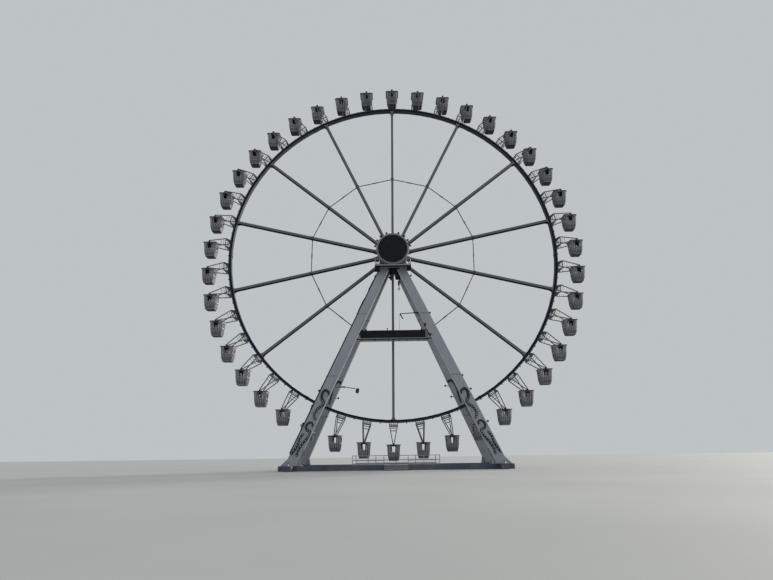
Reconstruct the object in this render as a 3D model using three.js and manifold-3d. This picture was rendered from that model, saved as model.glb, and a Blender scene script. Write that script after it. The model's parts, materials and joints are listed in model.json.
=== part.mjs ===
// Travelling ferris wheel at half size, in millimetres: +Z up, the wheel's plane is XZ,
// the axle runs along Y, and the origin is on the ground below the hub.
import * as THREE from 'three';
import { mergeVertices } from 'three/addons/utils/BufferGeometryUtils.js';
import Module from 'manifold-3d';

const wasm = await Module();
wasm.setup();

// Wheel: a box-section rim on fourteen spokes, with three cabins to each bay. It stands turned a little
// from its even place, as such a wheel does when it comes to rest.
const HUB_Z = 13900;
const RIM_RADIUS = 11000;
const RIM_HEIGHT = 185;
const RIM_DEPTH = 360;
const BAYS = 14;
const CABINS = 42;
const ARCS = 6;
const FACETS = 84;
const SPOKE_WIDTH = 155;
const SPOKE_DEPTH = 360;
const TIE_RADIUS = 5615;
const TIE_ROD = 40;
const SEAT_GAP = 0.3;
const REST_TURN = THREE.MathUtils.degToRad(0.6);

// Hub and axle, which turn in a bearing head on each side
const DRUM_RADIUS = 820;
const DRUM_DEPTH = 420;
const FLANGE_RADIUS = 930;
const FLANGE_THICKNESS = 40;
const COLLAR_RADIUS = 330;
const AXLE_RADIUS = 240;
const AXLE_SIDES = 24;
const BEARING_CLEARANCE = 0.6;
const HEAD_INNER_Y = 430;
const HEAD_OUTER_Y = 900;
const RUNNING_CLEARANCE = 10;

// Brackets that reach out from the rim, and the cabins that hang in them
const PIVOT_RADIUS = 12400;
const KNEE_RADIUS = 11290;
const KNEE_SPREAD = 250;
const ARM_WIDTH = 50;
const FRAME_INNER_Y = 510;
const PIVOT_GAP = 0.4;
const SADDLE_HALF_DEPTH = 170;
const CABIN_DROP = 1000;
const CABIN_HALF_X = 410;
const CABIN_HALF_Y = 465;
const CABIN_CORNER = 95;
const CABIN_KNEE_HEIGHT = 260;
const CABIN_KNEE_SHARE = 0.87;
const CABIN_FLOOR_SHARE = 0.69;
const CABIN_WALL = 24;
const HATCH_WIDTH = 220;
const HATCH_TOP_DROP = 120;
const HATCH_SILL_DROP = 480;
const ROOF_HALF_X = 455;
const ROOF_HALF_Y = 495;
const ROOF_CORNER = 80;
const ROOF_UNDERSIDE = -60;
const ROOF_EDGE = -20;
const ROOF_CROWN = 0;
const HANGER_SIZE = 50;

// Legs: their centre lines meet at the hub, lean outwards and splay front and back
const LEG_LEAN = 0.455;
const LEG_SPLAY = 0.11;
const LEG_Y_AT_HUB = 570;
const LEG_TOP_DROP = 1160;
const LEG_TOP_WIDTH = 540;
const LEG_FOOT_WIDTH = 640;
const LEG_DEPTH = 420;

// Bearing heads, the service deck under the round screen, and the screen
const HEAD_HALF_WIDTH = 900;
const HEAD_BEAM_HEIGHT = 120;
const HEAD_WEB_HALF = 640;
const HEAD_NECK_HALF = 400;
const SERVICE_HALF_WIDTH = 1180;
const SERVICE_FRONT_Y = 1500;
const SERVICE_THICKNESS = 70;
const SCREEN_RADIUS = 980;
const BEZEL_RADIUS = 1075;
const SCREEN_BACK_Y = 1280;
const SCREEN_FACE_Y = 1420;
const BEZEL_FACE_Y = 1440;
const SCREEN_DRUM_RADIUS = 600;

// Tie beams between the legs, and the sign box on the front one
const TIE_TOP_DROP = 5465;
const TIE_BOTTOM_DROP = 5665;
const TIE_INNER_Y = 1100;
const TIE_OUTER_Y = 1260;
const SIGN_TOP_DROP = 5435;
const SIGN_BOTTOM_DROP = 5937;
const SIGN_FACE_Y = 1392;
const SIGN_HALF_WIDTH = 2040;
const SIGN_RAIL_HEIGHT = 45;

// Base frame on the ground, boarding deck, steps and handrails
const BASE_HEIGHT = 300;
const BASE_END_X = 6900;
const OUTRIGGER_Y = 3300;
const OUTRIGGER_WIDTH = 420;
const DECK_THICKNESS = 60;
const DECK_HALF_LENGTH = 2600;
const BEARER_WIDTH = 200;
const BEARER_X = 2400;
const STEP_HALF_WIDTH = 700;
const STEP_TREAD = 300;
const RAIL_HEIGHT = 550;
const RAIL_SIZE = 40;
const RAIL_INSET = 60;

function paint(color, roughness, metalness) {
  return new THREE.MeshStandardMaterial({ color, roughness, metalness });
}
const rimPaint = paint(0x1d2333, 0.45, 0.3);
const spokePaint = paint(0x6d7072, 0.5, 0.3);
const legPaint = paint(0x9a9da3, 0.5, 0.2);
const cabinPaint = paint(0x6a6c6e, 0.5, 0.1);
const screenBlack = paint(0x17181a, 0.4, 0.1);
const baseSteel = paint(0x4a4f58, 0.6, 0.4);
const deckPlate = paint(0x7d8084, 0.55, 0.6);

// A geometry as a solid, and a solid back as a geometry
function solid(geometry) {
  geometry.deleteAttribute('normal');
  geometry.deleteAttribute('uv');
  const merged = mergeVertices(geometry, 0.001);
  return new wasm.Manifold(new wasm.Mesh({
    numProp: 3,
    vertProperties: new Float32Array(merged.attributes.position.array),
    triVerts: new Uint32Array(merged.index.array),
  }));
}

function joined(solids) {
  return solids.reduce((whole, piece) => whole.add(piece));
}

function geometryOf(manifold) {
  const mesh = manifold.getMesh();
  const geometry = new THREE.BufferGeometry();
  geometry.setAttribute('position', new THREE.BufferAttribute(mesh.vertProperties, 3));
  geometry.setIndex(new THREE.BufferAttribute(mesh.triVerts, 1));
  geometry.computeVertexNormals();
  return geometry;
}

// A box between two corners
function box([x0, x1], [y0, y1], [z0, z1]) {
  const geometry = new THREE.BoxGeometry(x1 - x0, y1 - y0, z1 - z0);
  geometry.translate((x0 + x1) / 2, (y0 + y1) / 2, (z0 + z1) / 2);
  return solid(geometry);
}

// A straight-sided post between a lower and an upper rectangle, each { x, y, z, halfX, halfY }
function post(lower, upper) {
  const geometry = new THREE.BoxGeometry(2, 2, 2);
  const corners = geometry.attributes.position;
  for (let i = 0; i < corners.count; i += 1) {
    const end = corners.getZ(i) < 0 ? lower : upper;
    corners.setXYZ(i, end.x + corners.getX(i) * end.halfX, end.y + corners.getY(i) * end.halfY, end.z);
  }
  return solid(geometry);
}

// A flat outline [x, z] given a thickness along Y, with any holes
function plateXZ(outline, [y0, y1], holes = []) {
  const shape = new THREE.Shape(outline.map(([x, z]) => new THREE.Vector2(x, z)));
  for (const hole of holes) shape.holes.push(new THREE.Path(hole.map(([x, z]) => new THREE.Vector2(x, z))));
  const geometry = new THREE.ExtrudeGeometry(shape, { depth: y1 - y0, bevelEnabled: false });
  geometry.rotateX(Math.PI / 2);
  geometry.translate(0, y1, 0);
  return solid(geometry);
}

// A flat outline [y, z] given a thickness along X
function plateYZ(outline, [x0, x1]) {
  const shape = new THREE.Shape(outline.map(([y, z]) => new THREE.Vector2(y, z)));
  const geometry = new THREE.ExtrudeGeometry(shape, { depth: x1 - x0, bevelEnabled: false });
  const axes = [[0, 1, 0], [0, 0, 1], [1, 0, 0]].map((axis) => new THREE.Vector3(...axis));
  geometry.applyMatrix4(new THREE.Matrix4().makeBasis(...axes));
  geometry.translate(x0, 0, 0);
  return solid(geometry);
}

// A flat outline [x, y] given a thickness along Z
function plateXY(outline, [z0, z1]) {
  const shape = new THREE.Shape(outline.map(([x, y]) => new THREE.Vector2(x, y)));
  const geometry = new THREE.ExtrudeGeometry(shape, { depth: z1 - z0, bevelEnabled: false });
  geometry.translate(0, 0, z0);
  return solid(geometry);
}

// A round bar along Y, given by the distance from its axis to its corners
function roundY(radius, [y0, y1], sides) {
  const geometry = new THREE.CylinderGeometry(radius, radius, y1 - y0, sides);
  geometry.translate(0, (y0 + y1) / 2, 0);
  return solid(geometry);
}

function turned(manifold, angle) {
  return manifold.rotate([0, THREE.MathUtils.radToDeg(angle), 0]);
}

const TURN = 2 * Math.PI;
const range = (count) => Array.from({ length: count }, (_, i) => i);
const root = new THREE.Group();
root.name = 'ferris_wheel';

function addMesh(group, name, manifold, material) {
  const mesh = new THREE.Mesh(geometryOf(manifold), material);
  mesh.name = name;
  group.add(mesh);
  return mesh;
}

// One sixth of the rim, flat-sided so that every bracket and spoke meets a flat face
const facet = TURN / FACETS;

function rimEdge(apothem) {
  const half = TURN / ARCS / 2;
  const end = half - SEAT_GAP / 2 / RIM_RADIUS;
  const corners = range(FACETS / ARCS).map((i) => -half + facet * (i + 0.5));
  const at = (angle, radius) => [radius * Math.sin(angle), radius * Math.cos(angle)];
  const cornerRadius = apothem / Math.cos(facet / 2);
  return [at(-end, apothem), ...corners.map((angle) => at(angle, cornerRadius)), at(end, apothem)];
}

function rimArc() {
  const outer = rimEdge(RIM_RADIUS + RIM_HEIGHT / 2);
  const inner = rimEdge(RIM_RADIUS - RIM_HEIGHT / 2);
  return plateXZ([...outer, ...inner.reverse()], [-RIM_DEPTH / 2, RIM_DEPTH / 2]);
}

// A bracket at the top of the wheel: two saddle plates on the rim and a triangular frame on each side
function bracket() {
  const kneeX = KNEE_SPREAD + ARM_WIDTH / 2;
  const kneeLow = KNEE_RADIUS - ARM_WIDTH / 2;
  const kneeHigh = KNEE_RADIUS + ARM_WIDTH / 2;
  const tip = PIVOT_RADIUS + ARM_WIDTH;
  const frameOutline = [[-kneeX, kneeLow], [kneeX, kneeLow], [ARM_WIDTH, tip], [-ARM_WIDTH, tip]];
  const kneeInside = KNEE_SPREAD - 0.7 * ARM_WIDTH;
  const tipInside = PIVOT_RADIUS - 1.5 * ARM_WIDTH;
  const tipHalf = ARM_WIDTH / 3;
  const gap = [
    [-kneeInside, kneeHigh], [kneeInside, kneeHigh], [tipHalf, tipInside], [-tipHalf, tipInside],
  ];
  const frameOuterY = FRAME_INNER_Y + ARM_WIDTH;
  const rimFace = RIM_RADIUS + RIM_HEIGHT / 2 - RUNNING_CLEARANCE;
  const saddle = [
    [-SADDLE_HALF_DEPTH, rimFace], [SADDLE_HALF_DEPTH, rimFace],
    [frameOuterY, kneeLow], [frameOuterY, kneeHigh], [-frameOuterY, kneeHigh], [-frameOuterY, kneeLow],
  ];
  const plateX = [KNEE_SPREAD - ARM_WIDTH / 2, kneeX];
  return joined([
    plateXZ(frameOutline, [FRAME_INNER_Y, frameOuterY], [gap]),
    plateXZ(frameOutline, [-frameOuterY, -FRAME_INNER_Y], [gap]),
    plateYZ(saddle, plateX),
    plateYZ(saddle, [-plateX[1], -plateX[0]]),
  ]);
}

function rimWithBrackets() {
  const perArc = CABINS / ARCS;
  const places = range(perArc).map((i) => (i - (perArc - 1) / 2) * TURN / CABINS);
  const one = bracket();
  return joined([rimArc(), ...places.map((angle) => turned(one, angle))]);
}

// Hub drum, flanges, axle, spokes and the ring of tie rods, all one welded frame
function spokeFrame() {
  const halfSpoke = SPOKE_DEPTH / 2;
  const halfDrum = DRUM_DEPTH / 2;
  const flangeY = halfDrum + FLANGE_THICKNESS;
  const tip = RIM_RADIUS - RIM_HEIGHT / 2 - SEAT_GAP;
  const spoke = box([-SPOKE_WIDTH / 2, SPOKE_WIDTH / 2], [-halfSpoke, halfSpoke], [DRUM_RADIUS / 2, tip]);
  const rod = TIE_ROD / 2;
  const bayHalf = TURN / BAYS / 2;
  const tieApothem = TIE_RADIUS * Math.cos(bayHalf);
  const tieHalf = TIE_RADIUS * Math.sin(bayHalf);
  const tie = turned(box([-tieHalf, tieHalf], [-rod, rod], [tieApothem - rod, tieApothem + rod]), bayHalf);
  const collarY = HEAD_INNER_Y - RUNNING_CLEARANCE;
  const axleY = HEAD_OUTER_Y - RUNNING_CLEARANCE;
  return joined([
    roundY(DRUM_RADIUS, [-halfDrum, halfDrum], 28),
    roundY(FLANGE_RADIUS, [halfDrum, flangeY], 28),
    roundY(FLANGE_RADIUS, [-flangeY, -halfDrum], 28),
    roundY(COLLAR_RADIUS, [-collarY, collarY], 24),
    roundY(AXLE_RADIUS, [-axleY, axleY], AXLE_SIDES),
    ...range(BAYS).map((i) => turned(spoke, i * TURN / BAYS)),
    ...range(BAYS).map((i) => turned(tie, i * TURN / BAYS)),
  ]);
}

// An eight-sided frustum about the Z axis: a rectangular one with its corners cut off at 45 degrees
function cutPost(lower, upper) {
  const diagonal = (level) => {
    const reach = (level.halfX + level.halfY - CABIN_CORNER * level.halfX / CABIN_HALF_X) / Math.SQRT2;
    return { ...level, halfX: reach, halfY: reach };
  };
  return post(lower, upper).intersect(post(diagonal(lower), diagonal(upper)).rotate([0, 0, 45]));
}

// The cabin's eight walls, which taper to a knee and then more steeply to the floor, drawn in by an inset
function tub(inset, [z0, z1]) {
  const level = (share, z) => ({
    x: 0, y: 0, z, halfX: CABIN_HALF_X * share - inset, halfY: CABIN_HALF_Y * share - inset,
  });
  const knee = level(CABIN_KNEE_SHARE, CABIN_KNEE_HEIGHT - CABIN_DROP);
  return joined([cutPost(level(CABIN_FLOOR_SHARE, z0), knee), cutPost(knee, level(1, z1))]);
}

// A cabin that hangs from its pivot at the origin: a tub with a hatch front and back, and a flat roof
function cabin() {
  const shell = tub(0, [-CABIN_DROP, ROOF_UNDERSIDE]);
  const inside = tub(CABIN_WALL, [-CABIN_DROP + CABIN_WALL, ROOF_UNDERSIDE]);
  const halfHatch = HATCH_WIDTH / 2;
  const through = [-ROOF_HALF_Y, ROOF_HALF_Y];
  const hatches = box([-halfHatch, halfHatch], through, [-HATCH_SILL_DROP, -HATCH_TOP_DROP]);
  const innerX = ROOF_HALF_X - ROOF_CORNER;
  const innerY = ROOF_HALF_Y - ROOF_CORNER;
  const slab = plateXY([
    [-innerX, -ROOF_HALF_Y], [innerX, -ROOF_HALF_Y], [ROOF_HALF_X, -innerY], [ROOF_HALF_X, innerY],
    [innerX, ROOF_HALF_Y], [-innerX, ROOF_HALF_Y], [-ROOF_HALF_X, innerY], [-ROOF_HALF_X, -innerY],
  ], [ROOF_UNDERSIDE, ROOF_EDGE]);
  const crown = post(
    { x: 0, y: 0, z: ROOF_EDGE, halfX: innerX, halfY: innerY },
    { x: 0, y: 0, z: ROOF_CROWN, halfX: innerX / 2, halfY: innerY / 2 },
  );
  const half = HANGER_SIZE / 2;
  const hangerY = FRAME_INNER_Y - PIVOT_GAP;
  const hanger = box([-half, half], [-hangerY, hangerY], [-half, half]);
  return joined([shell.subtract(inside).subtract(hatches), slab, crown, hanger]);
}

// Centre line and half width of a leg at a drop below the hub
const legX = (drop) => LEG_LEAN * drop;
const legY = (drop) => LEG_Y_AT_HUB + LEG_SPLAY * drop;
const footDrop = HUB_Z - BASE_HEIGHT - SEAT_GAP;
const slant = Math.hypot(1, LEG_LEAN);

function legHalf(drop) {
  const share = (drop - LEG_TOP_DROP) / (footDrop - LEG_TOP_DROP);
  return THREE.MathUtils.lerp(LEG_TOP_WIDTH, LEG_FOOT_WIDTH, share) * slant / 2;
}

function leg(sideX, sideY) {
  const level = (drop) => ({
    x: sideX * legX(drop), y: sideY * legY(drop), z: HUB_Z - drop,
    halfX: legHalf(drop), halfY: LEG_DEPTH / 2,
  });
  return post(level(footDrop), level(LEG_TOP_DROP + SEAT_GAP));
}

// A bearing head on the tops of two legs: a beam with a tapering neck around the axle
function bearingHead(sideY) {
  const beamTop = -LEG_TOP_DROP + HEAD_BEAM_HEIGHT;
  const outline = [
    [-HEAD_HALF_WIDTH, -LEG_TOP_DROP], [HEAD_HALF_WIDTH, -LEG_TOP_DROP], [HEAD_HALF_WIDTH, beamTop],
    [HEAD_WEB_HALF, beamTop],
    [HEAD_NECK_HALF, HEAD_NECK_HALF / 2], [HEAD_NECK_HALF / 2, HEAD_NECK_HALF],
    [-HEAD_NECK_HALF / 2, HEAD_NECK_HALF], [-HEAD_NECK_HALF, HEAD_NECK_HALF / 2],
    [-HEAD_WEB_HALF, beamTop], [-HEAD_HALF_WIDTH, beamTop],
  ];
  const across = [sideY * HEAD_INNER_Y, sideY * HEAD_OUTER_Y].sort((a, b) => a - b);
  const halfFacet = Math.PI / AXLE_SIDES;
  const boreRadius = (AXLE_RADIUS + BEARING_CLEARANCE) / Math.cos(halfFacet);
  const bore = turned(roundY(boreRadius, [-HEAD_OUTER_Y * 2, HEAD_OUTER_Y * 2], AXLE_SIDES), halfFacet);
  return plateXZ(outline, across).subtract(bore);
}

function serviceDeck() {
  const reach = [-SERVICE_FRONT_Y, -HEAD_INNER_Y];
  const level = [-LEG_TOP_DROP, -LEG_TOP_DROP + SERVICE_THICKNESS];
  return box([-SERVICE_HALF_WIDTH, SERVICE_HALF_WIDTH], reach, level);
}

// The round screen in its bezel, on a drum that stands on the front bearing head
function screen() {
  return joined([
    roundY(SCREEN_DRUM_RADIUS, [-SCREEN_BACK_Y, -HEAD_OUTER_Y - SEAT_GAP], 24),
    roundY(BEZEL_RADIUS, [-BEZEL_FACE_Y, -SCREEN_BACK_Y], 40),
  ]).subtract(roundY(SCREEN_RADIUS, [-2 * BEZEL_FACE_Y, -SCREEN_FACE_Y], 40));
}

// A beam from leg to leg, with ends that lie against the legs' inner faces
function betweenLegs(topDrop, bottomDrop, across) {
  const inner = (drop) => legX(drop) - legHalf(drop) - SEAT_GAP;
  const outline = [
    [-inner(bottomDrop), HUB_Z - bottomDrop], [inner(bottomDrop), HUB_Z - bottomDrop],
    [inner(topDrop), HUB_Z - topDrop], [-inner(topDrop), HUB_Z - topDrop],
  ];
  return plateXZ(outline, across);
}

// Two long sills under the legs, outriggers at their ends, bearers under the deck, and steps
const sillY = legY(footDrop);
const sillInnerY = sillY - LEG_DEPTH / 2;
const sillOuterY = sillY + LEG_DEPTH / 2;

function baseFrame() {
  const bearerTop = BASE_HEIGHT - DECK_THICKNESS - SEAT_GAP;
  const footX = legX(footDrop);
  const half = OUTRIGGER_WIDTH / 2;
  const sills = [-1, 1].map((side) => {
    const across = [side * sillInnerY, side * sillOuterY].sort((a, b) => a - b);
    return box([-BASE_END_X, BASE_END_X], across, [0, BASE_HEIGHT]);
  });
  const outriggers = [-footX, footX].map((x) => (
    box([x - half, x + half], [-OUTRIGGER_Y, OUTRIGGER_Y], [0, BASE_HEIGHT])));
  const bearers = [-BEARER_X, 0, BEARER_X].map((x) => (
    box([x - BEARER_WIDTH / 2, x + BEARER_WIDTH / 2], [-sillY, sillY], [0, bearerTop])));
  const steps = [1, 2].map((tread) => (
    box([-STEP_HALF_WIDTH, STEP_HALF_WIDTH], [-sillOuterY - tread * STEP_TREAD, -sillY],
      [0, BASE_HEIGHT * (3 - tread) / 3])));
  return joined([...sills, ...outriggers, ...bearers, ...steps]);
}

// The boarding deck with a handrail along its front and back, open at the steps
function boardingDeck() {
  const deckY = sillInnerY - SEAT_GAP;
  const top = BASE_HEIGHT;
  const deck = box([-DECK_HALF_LENGTH, DECK_HALF_LENGTH], [-deckY, deckY], [top - DECK_THICKNESS, top]);
  const railY = deckY - RAIL_INSET;
  const rails = [];
  const run = (x0, x1, y, posts) => {
    const across = [y - RAIL_SIZE / 2, y + RAIL_SIZE / 2];
    for (const height of [RAIL_HEIGHT, RAIL_HEIGHT / 2]) {
      rails.push(box([x0, x1], across, [top + height - RAIL_SIZE, top + height]));
    }
    for (const i of range(posts)) {
      const x = THREE.MathUtils.lerp(x0, x1 - RAIL_SIZE, i / (posts - 1));
      rails.push(box([x, x + RAIL_SIZE], across, [top - DECK_THICKNESS / 2, top + RAIL_HEIGHT]));
    }
  };
  run(-DECK_HALF_LENGTH, -STEP_HALF_WIDTH, -railY, 3);
  run(STEP_HALF_WIDTH, DECK_HALF_LENGTH, -railY, 3);
  run(-DECK_HALF_LENGTH, DECK_HALF_LENGTH, railY, 5);
  return joined([deck, ...rails]);
}

// Everything that is carried on the axle sits in one group at the hub
const wheel = new THREE.Group();
wheel.position.z = HUB_Z;
root.add(wheel);
addMesh(wheel, 'spoke_frame', spokeFrame(), spokePaint).rotation.y = REST_TURN;

const arc = rimWithBrackets();
for (const i of range(ARCS)) {
  addMesh(wheel, `rim_arc_${i + 1}`, arc, rimPaint).rotation.y = REST_TURN + i * TURN / ARCS;
}

const oneCabin = cabin();
for (const i of range(CABINS)) {
  const angle = REST_TURN + i * TURN / CABINS;
  const name = `cabin_${String(i + 1).padStart(2, '0')}`;
  const place = addMesh(wheel, name, oneCabin, cabinPaint).position;
  place.set(PIVOT_RADIUS * Math.sin(angle), 0, PIVOT_RADIUS * Math.cos(angle));
}

addMesh(root, 'front_left_leg', leg(-1, -1), legPaint);
addMesh(root, 'front_right_leg', leg(1, -1), legPaint);
addMesh(root, 'back_left_leg', leg(-1, 1), legPaint);
addMesh(root, 'back_right_leg', leg(1, 1), legPaint);
addMesh(root, 'front_head', bearingHead(-1).add(serviceDeck()), legPaint).position.z = HUB_Z;
addMesh(root, 'back_head', bearingHead(1), legPaint).position.z = HUB_Z;
addMesh(root, 'round_screen', screen(), screenBlack).position.z = HUB_Z;

const frontTie = betweenLegs(TIE_TOP_DROP, TIE_BOTTOM_DROP, [-TIE_OUTER_Y, -TIE_INNER_Y]);
const backTie = betweenLegs(TIE_TOP_DROP, TIE_BOTTOM_DROP, [TIE_INNER_Y, TIE_OUTER_Y]);
const signY = [-SIGN_FACE_Y, -TIE_OUTER_Y];
const signZ = [HUB_Z - SIGN_BOTTOM_DROP, HUB_Z - SIGN_TOP_DROP];
const signBox = box([-SIGN_HALF_WIDTH, SIGN_HALF_WIDTH], signY, signZ);
const signRail = betweenLegs(SIGN_BOTTOM_DROP, SIGN_BOTTOM_DROP + SIGN_RAIL_HEIGHT, signY);
addMesh(root, 'front_sign_beam', joined([frontTie, signBox, signRail]), screenBlack);
addMesh(root, 'back_tie_beam', backTie, legPaint);

addMesh(root, 'base_frame', baseFrame(), baseSteel);
addMesh(root, 'boarding_deck', boardingDeck(), deckPlate);

export default root;
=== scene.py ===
# %% [markdown]
# A travelling ferris wheel at half size. The steel frame comes packed from the CAD model, and this script
# dresses it: paint, dust and wear on every surface, and the small pieces that a maker adds last, such as
# cabins with windows and benches, lamps, bolts, bearings, rails and gussets. Every piece is modelled with
# the same tools as by hand, in metres, and rides on the CAD body that carries it.

# %% Load the frame
import json
import math

import bpy
from mathutils import Matrix, Vector

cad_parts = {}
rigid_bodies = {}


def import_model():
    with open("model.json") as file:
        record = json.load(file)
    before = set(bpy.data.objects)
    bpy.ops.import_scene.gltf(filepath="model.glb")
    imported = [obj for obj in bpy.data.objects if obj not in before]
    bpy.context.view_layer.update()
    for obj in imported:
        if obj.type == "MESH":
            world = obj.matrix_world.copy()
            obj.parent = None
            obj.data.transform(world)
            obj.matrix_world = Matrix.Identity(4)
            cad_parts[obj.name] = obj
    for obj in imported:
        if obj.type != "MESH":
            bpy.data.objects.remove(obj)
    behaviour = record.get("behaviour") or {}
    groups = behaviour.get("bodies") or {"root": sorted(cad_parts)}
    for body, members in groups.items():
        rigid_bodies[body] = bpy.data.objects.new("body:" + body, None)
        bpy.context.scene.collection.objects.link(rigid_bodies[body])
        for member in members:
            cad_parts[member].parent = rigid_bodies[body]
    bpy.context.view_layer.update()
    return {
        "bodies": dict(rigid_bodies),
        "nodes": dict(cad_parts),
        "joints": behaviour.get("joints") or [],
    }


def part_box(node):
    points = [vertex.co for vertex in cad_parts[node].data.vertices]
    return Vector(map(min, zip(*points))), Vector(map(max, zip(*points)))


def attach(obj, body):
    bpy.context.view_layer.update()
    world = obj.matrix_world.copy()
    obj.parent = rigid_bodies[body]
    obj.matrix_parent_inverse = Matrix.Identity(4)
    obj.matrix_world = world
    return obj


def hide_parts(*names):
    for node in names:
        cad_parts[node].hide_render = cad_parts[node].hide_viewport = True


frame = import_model()
joint_at = {joint["name"]: Vector(joint["pos_m"]) for joint in frame["joints"]}
hub = joint_at["wheel_spin"]
cabin_names = sorted(name for name in frame["bodies"] if name.startswith("cabin_"))
print("hub at", tuple(hub), "with", len(cabin_names), "cabins")

# %% [markdown]
# The photograph was taken from low down, well in front of the wheel and looking up. A camera is described by
# its place, the way it points and its lens. Those were worked out from the round rim and the level deck, so
# the render can be laid beside the photograph. The lens is given for a sensor 36 mm wide.

# %% Camera
camera_place = Vector((-0.163, -39.15, hub.z - 13.07))
camera_turn = math.radians(0.416)
camera_pitch = math.radians(15.226)
camera_roll = math.radians(0.741)
camera_lens = 28.326

camera_data = bpy.data.cameras.new("camera")
camera_data.lens = camera_lens
camera_data.sensor_width = 36
camera_data.clip_end = 500
camera = bpy.data.objects.new("camera", camera_data)
bpy.context.collection.objects.link(camera)
tilt = Matrix.Rotation(math.pi / 2 + camera_pitch, 4, "X") @ Matrix.Rotation(-camera_roll, 4, "Z")
aim = Matrix.Rotation(camera_turn, 4, "Z") @ tilt
camera.matrix_world = Matrix.Translation(camera_place) @ aim
bpy.context.scene.camera = camera
print("camera", tuple(round(v, 2) for v in camera_place))

# %% [markdown]
# Painted steel out of doors is never one colour. A large soft noise makes lighter and darker patches, a
# second one stretched in height makes rain streaks, and a rounded normal compared with the true one finds
# the edges, where the paint is rubbed thin. All of them read Object coordinates, so the pattern stays on the
# piece when the wheel turns.

# %% Helpers for materials
def set_inputs(tree, node, values):
    """Links each input, by its name or number, to a socket, or gives it a value."""
    for key, value in values.items():
        if isinstance(value, bpy.types.NodeSocket):
            tree.links.new(value, node.inputs[key])
        else:
            node.inputs[key].default_value = value


def add_node(tree, kind, values=None, **settings):
    """Adds a shader node, and sets its own options and its inputs."""
    new = tree.nodes.new(kind)
    for key, value in settings.items():
        setattr(new, key, value)
    set_inputs(tree, new, values or {})
    return new


def blank_material(name):
    """A new material with its node tree, its shader and its Object coordinates."""
    material = bpy.data.materials.new(name)
    material.use_nodes = True
    tree = material.node_tree
    coords = add_node(tree, "ShaderNodeTexCoord").outputs["Object"]
    return material, tree, tree.nodes["Principled BSDF"], coords


def noise(tree, coords, scale, stretch=(1, 1, 1), detail=4.0):
    """Noise over coordinates that may be stretched."""
    mapping = add_node(tree, "ShaderNodeMapping", {"Vector": coords, "Scale": stretch})
    values = {"Vector": mapping.outputs["Vector"], "Scale": scale, "Detail": detail}
    return add_node(tree, "ShaderNodeTexNoise", values).outputs["Fac"]


def fade(tree, value, low, high, out_low=0.0, out_high=1.0):
    """Stretches part of a value's range to a new range."""
    values = {"Value": value, "From Min": low, "From Max": high, "To Min": out_low, "To Max": out_high}
    return add_node(tree, "ShaderNodeMapRange", values, interpolation_type="SMOOTHSTEP").outputs["Result"]


def product(tree, value, factor):
    """A value times a number or another value."""
    return add_node(tree, "ShaderNodeMath", {0: value, 1: factor}, operation="MULTIPLY").outputs["Value"]


def vector_math(tree, operation, *vectors, result="Vector"):
    """What an operation on vectors gives."""
    node = add_node(tree, "ShaderNodeVectorMath", dict(enumerate(vectors)), operation=operation)
    return node.outputs[result]


def blend_colours(tree, share, first, second):
    """Mixes two colours, each a tuple or a socket, by a share. Its sockets for colours go by number."""
    share_in, first_in, second_in, colour_out = 0, 6, 7, 2
    first, second = ((*part, 1) if isinstance(part, tuple) else part for part in (first, second))
    values = {share_in: share, first_in: first, second_in: second}
    return add_node(tree, "ShaderNodeMix", values, data_type="RGBA").outputs[colour_out]


def edge_wear(tree, width):
    """A mask that is bright along the edges: where a rounded normal leaves the true one."""
    rounded = add_node(tree, "ShaderNodeBevel", {"Radius": width}, samples=4).outputs["Normal"]
    true_normal = add_node(tree, "ShaderNodeNewGeometry").outputs["Normal"]
    return fade(tree, vector_math(tree, "DOT_PRODUCT", rounded, true_normal, result="Value"), 0.995, 0.86)


def along_axle(tree):
    """A mask that is 1 on faces that look along the axle, and 0 on faces that look across it."""
    true_normal = add_node(tree, "ShaderNodeNewGeometry").outputs["True Normal"]
    along = add_node(tree, "ShaderNodeSeparateXYZ", {"Vector": true_normal}).outputs["Y"]
    size = add_node(tree, "ShaderNodeMath", {0: along}, operation="ABSOLUTE").outputs["Value"]
    return fade(tree, size, 0.6, 0.8)


def bump(tree, shader, height, depth, strength=0.4):
    """Gives the shader a relief of that depth in metres."""
    relief = add_node(tree, "ShaderNodeBump", {"Height": height, "Strength": strength, "Distance": depth})
    set_inputs(tree, shader, {"Normal": relief.outputs["Normal"]})


def weathered(name, colour, dusty, rough=0.5, metallic=0.0, streak=0.35, wear=None, patch=0.7, gloss=0.4,
              sides=None):
    """Painted or bare metal with dusty patches, rain streaks and, where wear is a colour, rubbed edges.

    Where sides is a colour, the faces that don't look along the axle are painted with it, as a painted
    shade.
    """
    dust_share, streak_shade, wear_width = 0.7, 0.55, 0.012
    streak_scale, streak_stretch, grain, grain_depth = 9.0, (1, 1, 0.06), 55.0, 0.002
    material, tree, shader, coords = blank_material(name)
    patches = fade(tree, noise(tree, coords, patch), 0.35, 0.75)
    streaks = fade(tree, noise(tree, coords, streak_scale, streak_stretch, detail=3.0), 0.5, 0.8)
    finish = blend_colours(tree, product(tree, patches, dust_share), colour, dusty)
    dark = tuple(streak_shade * part for part in colour)
    finish = blend_colours(tree, product(tree, streaks, streak), finish, dark)
    # Painted shade: faces that look across the axle take the darker sides colour.
    if sides:
        finish = blend_colours(tree, along_axle(tree), sides, finish)
    if wear:
        chips = fade(tree, noise(tree, coords, 6.0), 0.42, 0.62)
        finish = blend_colours(tree, product(tree, edge_wear(tree, wear_width), chips), finish, wear)
    roughness = fade(tree, patches, 0, 1, rough - 0.08, rough + 0.12)
    set_inputs(tree, shader, {"Base Color": finish, "Metallic": metallic, "Roughness": roughness})
    set_inputs(tree, shader, {"Specular IOR Level": gloss})
    bump(tree, shader, noise(tree, coords, grain), grain_depth)
    return material
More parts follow.
